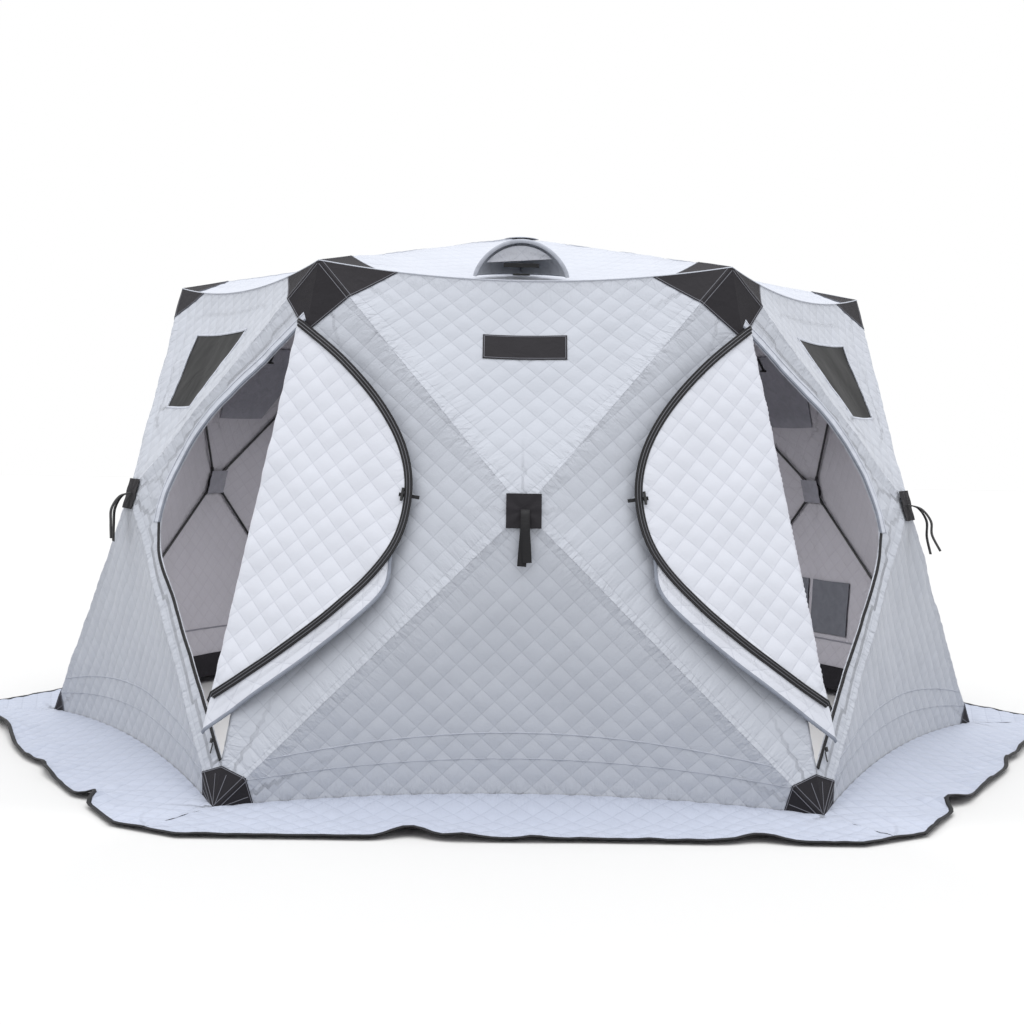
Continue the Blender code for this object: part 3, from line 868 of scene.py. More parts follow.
@dataclass
class Walls:
    """The quilted cloth of the six walls, each sewn from panels between its poles."""

    shelter: Shelter
    opening: Outline = ((0.012, 0.165), (0.300, 0.505), (0.480, 0.720), (0.600, 0.865), (0.652, 0.985))
    opening_high: Outline = (
        (0.642, 1.080),
        (0.590, 1.215),
        (0.462, 1.378),
        (0.330, 1.483),
        (0.220, 1.558),
        (0.012, 1.698),
    )
    corner_strip: float = 0.0125
    window_high: tuple[float, float] = (0.268, 0.224)
    window_low: tuple[float, float] = (0.125, 0.572)

    def build(self) -> None:
        """Makes every wall's panels and what is sewn to them."""
        for wall in Wall:
            for sector in Sector:
                self.sector_panels(wall, sector)
            self.foot_seams(wall)
            self.inner_bands(wall)
            if wall in WINDOW_WALLS:
                self.pane(wall)
            if wall in (Wall.REAR_LEFT, Wall.REAR_RIGHT):
                self.inner_flap(wall)
            LOG.info("wall %s sewn", wall.label)
        self.mesh_pockets()
        self.blank_label()

    def foot_line(self, wall: Wall, low: float, rise: float, lift: float) -> Points:
        """A line across the bottom panel, higher in its middle."""
        s = self.shelter
        span = np.linspace(-1, 1, 61)
        y = low + rise * (1 - span**2)
        x = span * s.half_base * (1 - y / s.hub_up_wall) * 0.995
        return WallCloth(s, wall).shape(Sector.BOTTOM, x, y, lift)

    def foot_seams(self, wall: Wall) -> None:
        """The two seams above the foot, and the taped seam where the skirt is sewn on."""
        cloth = WallCloth(self.shelter, wall)
        out = self.shelter.axes(wall)[3]
        for name, low, rise, wide in (("upper", 0.165, 0.067, 0.005), ("lower", 0.095, 0.045, 0.003)):
            path = self.foot_line(wall, low, rise, 0.0015)
            seam = Strip(
                f"foot_seam_{wall.label}_{name}", path, out, wide, 0.003, SEAM_TAPE, round_edge=True
            ).make()
            cloth.blend(seam, Sector.BOTTOM)
        path = self.foot_line(wall, 0.001, 0.0, 0.001)
        seam = Strip(f"skirt_seam_{wall.label}", path, out, 0.010, 0.004, SEAM_TAPE, round_edge=True).make()
        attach(seam, "shell")
        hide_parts("base_webbing")

    def inner_bands(self, wall: Wall) -> None:
        """The black band inside the wall's foot and the lining's seam above it."""
        cloth = WallCloth(self.shelter, wall)
        band = Panel(
            f"inner_foot_band_{wall.label}",
            clip(self.sector_outline(Sector.BOTTOM), 0.120, False),
            lambda x, y: cloth.shape(Sector.BOTTOM, x, y, -0.0105),
            BLACK_CLOTH,
            BLACK_CLOTH,
            BLACK_CLOTH,
            pitch=0.02,
            thickness=0.002,
            puff=0.0,
        ).make()
        cloth.blend(band, Sector.BOTTOM)
        path = self.foot_line(wall, 0.25, 0.0, -0.009)
        out = self.shelter.axes(wall)[3]
        seam = Strip(f"lining_seam_{wall.label}", path, out, 0.006, 0.003, INNER_PATCH).make()
        cloth.blend(seam, Sector.BOTTOM)

    def window_ring(self, grow: float) -> list[tuple[float, float]]:
        """The window's outline moved outwards by a distance."""
        ring = np.array(self.window())
        middle = ring.mean(axis=0)
        return [tuple(p + np.sign(p - middle) * grow) for p in ring]

    def pane(self, wall: Wall) -> None:
        """The vinyl pane behind its opening, painted dark as painted shade of the inside, and the pale stitched edge
        round it.
        """
        cloth = WallCloth(self.shelter, wall)
        pane = Panel(
            f"window_vinyl_{wall.label}",
            self.window_ring(0.006),
            lambda x, y: cloth.shape(Sector.TOP, x, y, -0.0005),
            SHADED_VINYL,
            SHADED_VINYL,
            SHADED_VINYL,
            pitch=0.02,
            thickness=0.0015,
            puff=0.0,
        ).make()
        cloth.blend(pane, Sector.TOP)
        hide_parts("window_pane_" + wall.label)
        ring = self.window_ring(0.004)
        line = dense([*ring, ring[0]], 0.02)
        path = cloth.shape(Sector.TOP, line[:, 0], line[:, 1], 0.0025)
        edge = Strip(
            f"window_edge_{wall.label}", path, self.shelter.axes(wall)[3], 0.009, 0.003, FACING, round_edge=True
        ).make()
        cloth.blend(edge, Sector.TOP)

    def down(self, distance: float) -> float:
        """The height up the wall of a place this far down the top panel."""
        return self.shelter.wall_length - distance * math.cos(self.top_tilt())

    def inner_flap(self, wall: Wall) -> None:
        """The grey flap that covers a rear window inside, and its toggle."""
        cloth = WallCloth(self.shelter, wall)
        low, high = self.down(0.610), self.down(0.200)
        flap = Panel(
            f"inner_window_flap_{wall.label}",
            [(-0.160, low), (0.160, low), (0.300, high), (-0.300, high)],
            lambda x, y: cloth.shape(Sector.TOP, x, y, -0.013),
            INNER_PATCH,
            INNER_PATCH,
            INNER_PATCH,
            pitch=0.02,
            thickness=0.003,
            puff=0.0,
        ).make()
        cloth.blend(flap, Sector.TOP)
        up = np.linspace(high - 0.005, high - 0.075, 8)
        path = cloth.shape(Sector.TOP, up * 0, up, -0.021)
        out = self.shelter.axes(wall)[3]
        loop = Strip(f"inner_flap_loop_{wall.label}", path, out, 0.012, 0.0025, WEBBING).make()
        across = np.linspace(-0.020, 0.020, 8)
        path = cloth.shape(Sector.TOP, across, across * 0 + high - 0.078, -0.022)
        bar = Strip(f"inner_flap_toggle_{wall.label}", path, out, 0.009, 0.009, NYLON, round_edge=True).make()
        for piece in (loop, bar):
            cloth.blend(piece, Sector.TOP)

    def mesh_pockets(self) -> None:
        """The mesh pockets inside the rear right wall."""
        cloth = WallCloth(self.shelter, Wall.REAR_RIGHT)
        for hand, side in (("left", -1), ("right", 1)):
            near, far = sorted((side * 0.015, side * 0.260))
            pocket = Panel(
                f"mesh_pocket_{hand}",
                [(near, 0.280), (far, 0.280), (far, 0.540), (near, 0.540)],
                lambda x, y: cloth.shape(Sector.BOTTOM, x, y, -0.014),
                MESH_POCKET,
                MESH_POCKET,
                WEBBING,
                pitch=0.02,
                thickness=0.0025,
                puff=0.0,
            ).make()
            cloth.blend(pocket, Sector.BOTTOM)

    def blank_label(self) -> None:
        """The plain black patch under the front eave, with a stitched edge."""
        cloth = WallCloth(self.shelter, Wall.FRONT)
        low, high, half = self.down(0.360), self.down(0.254), 0.145
        ring = [(-half, low), (half, low), (half, high), (-half, high)]
        label = Panel(
            "front_patch",
            ring,
            lambda x, y: cloth.shape(Sector.TOP, x, y, 0.0045),
            BLACK_CLOTH,
            BLACK_CLOTH,
            WEBBING,
            pitch=0.010,
            turn=0.0,
            thickness=0.002,
            puff=0.0,
            rests_on=["wall_front"],
        ).make()
        line = dense([*ring, ring[0]], 0.01) * (0.965, 1.0)
        inset = np.clip(line[:, 1], low + 0.005, high - 0.005)
        path = cloth.shape(Sector.TOP, line[:, 0], inset, 0.005)
        out = self.shelter.axes(Wall.FRONT)[3]
        edge = Strip("front_patch_stitching", path, out, 0.002, 0.001, THREAD).make()
        for piece in (label, edge):
            cloth.blend(piece, Sector.TOP)

    def sector_outline(self, sector: Sector) -> list[tuple[float, float]]:
        """A panel's triangle in the wall's axes, anticlockwise, its inner end cut short at the hub."""
        s = self.shelter
        ends = {
            Sector.BOTTOM: ((-1, False), (1, False)),
            Sector.RIGHT: ((1, False), (1, True)),
            Sector.TOP: ((1, True), (-1, True)),
            Sector.LEFT: ((-1, True), (-1, False)),
        }[sector]
        first, last = (s.corner(*end)[:2] for end in ends)
        hub = s.hub()[:2]
        tip = 0.012
        return [tuple(first), tuple(last), tuple(hub + (last - hub) * tip), tuple(hub + (first - hub) * tip)]

    def doorway(self, side: int) -> list[tuple[float, float]]:
        """The doorway's outline in the wall's axes, anticlockwise."""
        s = self.shelter
        foot, across, up, _out = s.side_facet(side)
        line = smooth_line([*self.opening, *self.opening_high], steps=3)
        points = [tuple((foot + across * a + up * b)[:2]) for a, b in line]
        hull = [points[index] for index in convex_hull_2d([Vector(p) for p in points])]
        ring = np.array(hull)
        following = np.roll(ring, -1, axis=0)
        turn = (ring[:, 0] * following[:, 1] - following[:, 0] * ring[:, 1]).sum()
        return hull if turn > 0 else hull[::-1]

    def window(self) -> list[tuple[float, float]]:
        """The window's outline in the wall's axes, anticlockwise."""
        s = self.shelter
        corners = []
        for half, down in (self.window_high, self.window_low):
            rise = s.wall_length - down * math.cos(self.top_tilt())
            corners.append((half, rise))
        (high, top), (low, bottom) = corners
        return [(-low, bottom), (low, bottom), (high, top), (-high, top)]

    def top_tilt(self) -> float:
        """The top panel's tilt out of the wall's plane."""
        s = self.shelter
        return math.atan2(s.hub_bulge, (s.wall_length - s.hub_up_wall) * (1 - s.plateau))

    def sector_panels(self, wall: Wall, sector: Sector) -> None:
        """One sector's cloth."""
        cloth = WallCloth(self.shelter, wall)
        holes: list[Outline] = []
        cuts = {f"cloth_{wall.label}_{sector.value}": self.sector_outline(sector)}
        if wall in DOOR_WALLS and sector is (Sector.RIGHT if DOOR_WALLS[wall] > 0 else Sector.LEFT):
            holes.append(self.doorway(DOOR_WALLS[wall]))
            cuts = self.doorway_bands(*cuts.popitem(), DOOR_WALLS[wall])
        if wall in WINDOW_WALLS and sector is Sector.TOP:
            holes.append(self.window())
        for name, outline in cuts.items():
            panel = Panel(
                name,
                outline,
                lambda x, y: cloth.shape(sector, x, y),
                SHELL,
                SHADED_LINING,
                SHELL,
                thickness=0.002 if name.endswith("_corner") else 0.005,
                holes=holes,
                rests_on=[f"pole_{wall.label}_upper_left", f"pole_{wall.label}_lower_right"],
            ).make()
            cloth.blend(panel, sector)
            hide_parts("wall_" + wall.label)

    def doorway_bands(self, name: str, outline: Outline, side: int) -> dict[str, Outline]:
        """The three cuts round a doorway: a corner strip, and a band above and one below the hub's height."""
        foot, across, _up, _out = self.shelter.side_facet(side)
        start = (foot + across * self.corner_strip)[:2]
        away = -across[:2]
        level = self.shelter.hub_up_wall
        rest = cut_along(outline, start, -away)
        return {
            name + "_corner": cut_along(outline, start, away),
            name + "_upper": clip(rest, level, True),
            name + "_lower": clip(rest, level, False),
        }


def clip(outline: Outline, height: float, above: bool) -> list[tuple[float, float]]:
    """The part of a convex outline above or below a height."""
    return cut_along(outline, (0.0, height), (0.0, 1.0 if above else -1.0))


def cut_along(outline: Outline, start: Sequence[float], keep: Sequence[float]) -> list[tuple[float, float]]:
    """The part of a convex outline on one side of a straight cut.

    Args:
        outline: the outline.
        start: a point that the cut goes through.
        keep: the direction, square to the cut, in which cloth is kept.

    Returns:
        The kept part's outline.
    """
    kept = []
    reach = [(x - start[0]) * keep[0] + (y - start[1]) * keep[1] for x, y in outline]
    for (ax, ay), (bx, by), a, b in zip(outline, [*outline[1:], outline[0]], reach, [*reach[1:], reach[0]]):
        if a >= 0:
            kept.append((ax, ay))
        if a * b < 0:
            share = a / (a - b)
            kept.append((ax + (bx - ax) * share, ay + (by - ay) * share))
    return kept


@dataclass
class Roof:
    """Six gores from the eave to the roof hub, their eave piping and the vent hood."""

    shelter: Shelter
    piping: float = 0.005
    hood_half_width: float = 0.162
    hood_height: float = 0.125
    hood_depth: float = 0.250

    def build(self) -> None:
        """Makes the gores, piping and hood."""
        for wall in Wall:
            self.gore(wall)
        self.eave_piping()
        self.hub_cap()
        self.vent_hood()
        LOG.info("roof sewn")

    def shape(self, wall: Wall, x: Points, y: Points, lift: float = 0.0) -> Points:
        """The gore's place for points along the eave (x) and up the slope (y)."""
        s = self.shelter
        slope_length = math.hypot(s.eave_radius * s.flat, s.roof_rise)
        rho = np.clip(1 - y / slope_length, 1e-6, 1)
        turn = math.radians(wall.value)
        radial = np.array((math.cos(turn), math.sin(turn), 0.0))
        along = np.array((-math.sin(turn), math.cos(turn), 0.0))
        share = np.clip((x / rho + s.half_eave) / (2 * s.half_eave), 0, 1)
        span = 4 * share * (1 - share)
        sag = 0.022 * 27 / 4 * span * rho**2 * (1 - rho)
        wave = Ripples(int(wall.value) + 900, 0.4).at(x, y) * 0.004 * (1 - rho**6)
        height = s.eave_height + s.roof_rise * (1 - rho) - sag + wave + lift - 0.004
        flat = np.outer(rho * s.eave_radius * s.flat, radial) + np.outer(x, along)
        return flat + np.outer(height - span * rho**2 * s.eave_sag, UP)

    def gore(self, wall: Wall) -> None:
        """One gore of the roof."""
        s = self.shelter
        slope_length = math.hypot(s.eave_radius * s.flat, s.roof_rise)
        tip = 0.012
        near = slope_length * (1 - tip)
        narrow = s.half_eave * tip
        outline = [(-s.half_eave, 0.0), (s.half_eave, 0.0), (narrow, near), (-narrow, near)]
        piece = Panel(
            f"roof_gore_{wall.label}",
            outline,
            lambda x, y: self.shape(wall, x, y),
            LIT_ROOF_CLOTH,
            SHADED_LINING,
            LIT_ROOF_CLOTH,
            rests_on=["pole_roof_1", "pole_roof_4"],
        ).make()
        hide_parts("roof")
        self.blend(piece, wall)

    def blend(self, piece: bpy.types.Object, wall: Wall) -> None:
        """Bakes a gore's placement into its points."""
        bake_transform(piece)

    def hub_cap(self) -> None:
        """The six-sided patch of roof cloth over the roof hub."""
        s = self.shelter
        top = s.eave_height + s.roof_rise
        ring = [(0.075 * math.cos(i * math.pi / 3), 0.075 * math.sin(i * math.pi / 3)) for i in range(6)]
        cap = Panel(
            "roof_hub_cap",
            ring,
            lambda x, y: np.stack((x, y, top + 0.006 - np.hypot(x, y) * s.roof_rise / s.eave_radius), axis=1),
            LIT_ROOF_CLOTH,
            SHADED_LINING,
            LIT_ROOF_CLOTH,
            pitch=0.0075,
            turn=0.0,
            thickness=0.0025,
            puff=0.0,
            rests_on=["roof"],
        ).make()
        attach(cap, "frame_roof")

    def eave_piping(self) -> None:
        """The piping sewn into the eave seam of each wall."""
        s = self.shelter
        for wall in Wall:
            x = np.linspace(-s.half_eave, s.half_eave, 41)
            line = self.shape(wall, x, np.zeros(41), 0.002)
            piece = Strip(
                f"eave_piping_{wall.label}", line, UP, self.piping, self.piping, LIT_ROOF_CLOTH, round_edge=True
            ).make()
            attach(piece, "shell")
            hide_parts("eave_binding")

    def vent_hood(self) -> None:
        """The half-moon hood over the roof vent, with its binding, inner flap and two black tapes."""
        s = self.shelter
        rows, columns = 13, 25
        base = np.array((-0.015, -s.eave_radius * s.flat + 0.006, s.eave_height - s.eave_sag + 0.012))
        slope = math.atan2(s.roof_rise, s.eave_radius * s.flat)
        back_axis = np.array((0.0, math.cos(slope), math.sin(slope)))
        flat, outer = [], []
        for i in range(rows):
            ring = i / (rows - 1) * 0.998
            back, spread = math.sin(ring * math.pi / 2), math.cos(ring * math.pi / 2)
            for j in range(columns):
                angle = math.pi * j / (columns - 1)
                side = math.cos(angle) * self.hood_half_width * spread
                height = math.sin(angle) ** 1.35 * self.hood_height * spread
                place = base + back_axis * back * self.hood_depth * (0.35 + 0.65 * math.sin(angle))
                outer.append(place + np.array((side, 0.0, height)))
                flat.append((side, back * self.hood_depth + height))
        faces = []
        for i in range(rows - 1):
            for j in range(columns - 1):
                a = i * columns + j
                faces.append([a, a + columns, a + columns + 1, a + 1])
        points = np.array(outer)
        normals = Panel.normals(points, faces)
        if normals[columns // 2][2] < 0:
            faces = [face[::-1] for face in faces]
            normals = -normals
        piece = closed_sheet("vent_hood_cloth", np.array(flat), faces, points, points - normals * 0.004)
        for finish in (LIT_ROOF_CLOTH, SHELL, GREY_BINDING):
            piece.data.materials.append(finish.build())
        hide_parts("vent_hood")
        turns = np.linspace(0, math.pi, 41)
        rim = base + np.stack(
            (
                np.cos(turns) * self.hood_half_width,
                turns * 0 - 0.003,
                np.abs(np.sin(turns)) ** 1.35 * self.hood_height,
            ),
            axis=1,
        )
        binding = Strip(
            "vent_hood_binding", rim, (0.0, -1.0, 0.0), 0.014, 0.009, SEAM_TAPE, round_edge=True
        ).make()
        crescent = [
            (math.cos(t) * (self.hood_half_width - 0.014), math.sin(t) ** 1.35 * (self.hood_height - 0.014))
            for t in np.linspace(0.75, math.pi - 0.60, 15)
        ]
        flap = Panel(
            "vent_inner_flap",
            crescent,
            lambda x, y: base + np.stack((x, 0.020 + 0.8 * (self.hood_height - y) ** 2 + x * 0, y), axis=1),
            DOOR_LINING,
            DOOR_LINING,
            DOOR_LINING,
            pitch=0.008,
            thickness=0.002,
            puff=0.0,
            flip=True,
        ).make()
        pieces = [piece, binding, flap]
        tapes = (("vent_hook_tape", 0.062, 0.040, 0.015), ("vent_prop_loop", 0.030, 0.008, 0.007))
        for name, half, up, tall in tapes:
            x = np.linspace(-half, half, 9)
            line = base + np.stack((x, x * 0 - 0.004, x * 0 + up), axis=1)
            pieces.append(Strip(name, line, (0.0, -1.0, 0.0), tall, 0.003, WEBBING).make())
        for made in pieces:
            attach(made, "shell")


@dataclass
class CornerPatches:
    """Black reinforcing patches where the pole tips seat: four on each wall and two on each roof gore."""

    shelter: Shelter
    along_eave: float = 0.283
    ridge_top: float = 0.187
    down_corner: float = 0.272
    along_foot: float = 0.134
    ridge_foot: float = 0.150
    up_corner: float = 0.145
    on_roof: float = 0.200
    stitch_gap: float = 0.009

    def build(self) -> None:
        """Makes every patch with its stitching."""
        for wall in Wall:
            for side in (-1, 1):
                for top in (True, False):
                    self.wall_patch(wall, side, top)
                self.roof_patch(wall, side)
        LOG.info("corners patched")

    def wall_patch(self, wall: Wall, side: int, top: bool) -> None:
        """The two halves of one corner's patch, either side of the pole."""
        s = self.shelter
        cloth = WallCloth(s, wall)
        corner = s.corner(side, top)[:2]
        ridge = s.hub()[:2] - corner
        ridge /= np.linalg.norm(ridge)
        line = s.corner(side, not top)[:2] - corner
        line /= np.linalg.norm(line)
        edge = np.array((-side, 0.0))
        reach = self.ridge_top if top else self.ridge_foot
        place = f"{wall.label}_{'top' if top else 'foot'}_{'right' if side > 0 else 'left'}"
        halves = (
            (Sector.TOP if top else Sector.BOTTOM, edge, self.along_eave if top else self.along_foot, "a"),
            (Sector.RIGHT if side > 0 else Sector.LEFT, line, self.down_corner if top else self.up_corner, "b"),
        )
        for sector, heading, length, mark in halves:
            ring = [tuple(corner), tuple(corner + heading * length), tuple(corner + ridge * reach)]
            across = heading - ridge * (heading @ ridge)
            across /= np.linalg.norm(across)
            beside = corner + across * self.stitch_gap
            runs = [(beside + ridge * 0.012, beside + ridge * reach)]
            if not top:
                slant = ridge + across * 0.5
                runs.append((corner + slant * 0.02, corner + slant * reach * 0.72))
            self.half(
                f"corner_patch_{place}_{mark}",
                ring,
                runs,
                lambda x, y, lift, at=sector: cloth.shape(at, x, y, lift),
                s.axes(wall)[3],
                lambda piece, at=sector: cloth.blend(piece, at),
            )

    def roof_patch(self, wall: Wall, side: int) -> None:
        """The patch on one corner of a roof gore."""
        s = self.shelter
        roof = Roof(s)
        corner = np.array((side * s.half_eave, 0.0))
        hip = np.array((0.0, math.hypot(s.eave_radius * s.flat, s.roof_rise))) - corner
        hip /= np.linalg.norm(hip)
        ring = [tuple(corner), tuple(corner - (side * self.on_roof, 0.0)), tuple(corner + hip * self.on_roof)]
        across = np.array((-side, 0.0)) - hip * (-side * hip[0])
        across /= np.linalg.norm(across)
        beside = corner + across * self.stitch_gap
        runs = [(beside + hip * 0.01, beside + hip * self.on_roof)]
        self.half(
            f"corner_patch_{wall.label}_roof_{'right' if side > 0 else 'left'}",
            ring,
            runs,
            lambda x, y, lift: roof.shape(wall, x, y, lift),
            UP,
            lambda piece: roof.blend(piece, wall),
        )

    def half(
        self,
        name: str,
        ring: Outline,
        runs: Sequence[tuple[Points, Points]],
        place: Callable[[Points, Points, float], Points],
        out: Points,
        blend: Callable[[bpy.types.Object], None],
    ) -> None:
        """One triangular patch and its pale stitching.

        Args:
            name: the patch's name.
            ring: its outline, either way round.
            runs: the ends of each line of stitching.
            place: puts flat points and a lift on the cloth.
            out: the direction the cloth faces.
            blend: bakes a piece's placement into its points.
        """
        a, b, c = (np.array(p) for p in ring)
        clockwise = (b - a)[0] * (c - a)[1] - (b - a)[1] * (c - a)[0] < 0
        patch = Panel(
            name,
            list(ring)[::-1] if clockwise else list(ring),
            lambda x, y: place(x, y, 0.0040),
            BLACK_CLOTH,
            BLACK_CLOTH,
            GREY_BINDING,
            pitch=0.012,
            turn=0.0,
            thickness=0.0018,
            puff=0.0,
        ).make()
        stitches = []
        for start, stop in [*runs, (b + (a - b) * 0.03, c + (a - c) * 0.03)]:
            line = dense([start, stop], 0.012)
            path = place(line[:, 0], line[:, 1], 0.0046)
            stitches.append(Strip(name + "_stitch", path, out, 0.0022, 0.0012, THREAD).make())
        for piece in (patch, joined(name + "_stitching", stitches)):
            blend(piece)


@dataclass
class Skirt:
    """The snow skirt: six quilted flaps on the ice with a black bound hem."""

    shelter: Shelter
    reach: float = 0.345
    corner_extra: float = 0.05
    binding: float = 0.016
    tucks: dict[str, tuple[tuple[float, float, float], ...]] = field(
        default_factory=lambda: {
            "front": ((-0.34, 0.07, 0.050), (0.73, 0.09, 0.030)),
            "front_right": ((-0.62, 0.06, 0.045), (0.25, 0.10, 0.025), (0.62, 0.30, 0.035)),
            "rear_right": ((-0.20, 0.08, 0.040),),
            "rear": ((0.15, 0.08, 0.040), (-0.70, 0.07, 0.030)),
            "rear_left": ((0.40, 0.08, 0.035),),
            "front_left": ((0.70, 0.05, 0.045), (0.10, 0.10, 0.025), (-0.70, 0.35, 0.070)),
        }
    )

    def build(self) -> None:
        """Makes the flaps and their bindings."""
        for wall in Wall:
            self.flap(wall)
        LOG.info("skirt laid")

    def outline(self) -> list[tuple[float, float]]:
        """A flap's outline: x along the wall, y out from its foot."""
        half = self.shelter.half_base
        wide = half + self.corner_extra
        apothem = self.shelter.base_radius * self.shelter.flat
        reach = (wide * 0.5 + (self.reach + apothem) * self.shelter.flat)
        mitre = (reach * 0.5, reach * self.shelter.flat - apothem)
        return [
            (-half, 0.0),
            (-mitre[0], mitre[1]),
            (-wide, self.reach),
            (wide, self.reach),
            (mitre[0], mitre[1]),
            (half, 0.0),
        ][::-1]

    def shape(self, wall: Wall, x: Points, y: Points) -> Points:
        """The flap's place: sewn to the wall's foot, falling to the ice, its hem waved."""
        s = self.shelter
        turn = math.radians(wall.value)
        radial = np.array((math.cos(turn), math.sin(turn), 0.0))
        along = np.array((-math.sin(turn), math.cos(turn), 0.0))
        share = np.clip((x + s.half_base) / (2 * s.half_base), 0, 1)
        span = 4 * share * (1 - share)
        near = np.exp(-((y / 0.11) ** 2))
        seed = int(wall.value) + 1300
        out = y / self.reach
        fold = Ripples(seed, 0.30).at(x, y * 0.6) * out * span**0.5
        hem = Ripples(seed + 7, 0.55).at(x, y * 0.2)
        height = 0.010 + span * s.foot_lift * near + np.clip(fold, 0, 1.5) * 0.014 * (1 - near)
        height += np.abs(Ripples(seed + 3, 0.14).at(x, y)) * 0.004 * (1 - near)
        drop = np.clip(hem - 0.9, 0, 1) * 0.06 * out**2 * span
        for tuck, width, depth in self.tucks[wall.label]:
            beside = np.exp(-(((x - tuck) / width) ** 2)) * np.clip(out, 0, 1) ** 2
            drop = drop + beside * depth
            height = height + beside * depth * 0.35
        apart = s.base_radius * s.flat + y * (1 + 0.012 * hem * span) - drop - span * near * s.foot_draw
        return np.outer(apart, radial) + np.outer(x, along) + np.outer(height, UP)

    def flap(self, wall: Wall) -> None:
        """One wall's flap and its bound hem."""
        outline = self.outline()
        piece = Panel(
            f"skirt_{wall.label}",
            outline,
            lambda x, y: self.shape(wall, x, y),
            SKIRT_CLOTH,
            SHADED_LINING,
            WEBBING,
            thickness=0.003,
            puff=0.003,
            flip=True,
            held="laid",
        ).make()
        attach(piece, "shell")
        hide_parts("skirt")
        hem = [outline[i] for i in (1, 2, 3, 4)]
        line = dense(hem, 0.03)
        path = self.shape(wall, line[:, 0], line[:, 1]) + UP * 0.002
        binding = Strip(
            f"skirt_hem_{wall.label}", path, UP, self.binding, 0.005, WEBBING, round_edge=True
        ).make()
        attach(binding, "shell")


def dense(points: Sequence[Sequence[float]], pitch: float) -> Points:
    """The points of a run of straight stretches, set no further apart than a pitch."""
    line = []
    for start, stop in zip(points, points[1:]):
        a, b = np.array(start, float), np.array(stop, float)
        count = max(1, math.ceil(np.linalg.norm(b - a) / pitch))
        line.extend(a + (b - a) * i / count for i in range(count))
    line.append(np.array(points[-1], float))
    return np.array(line)


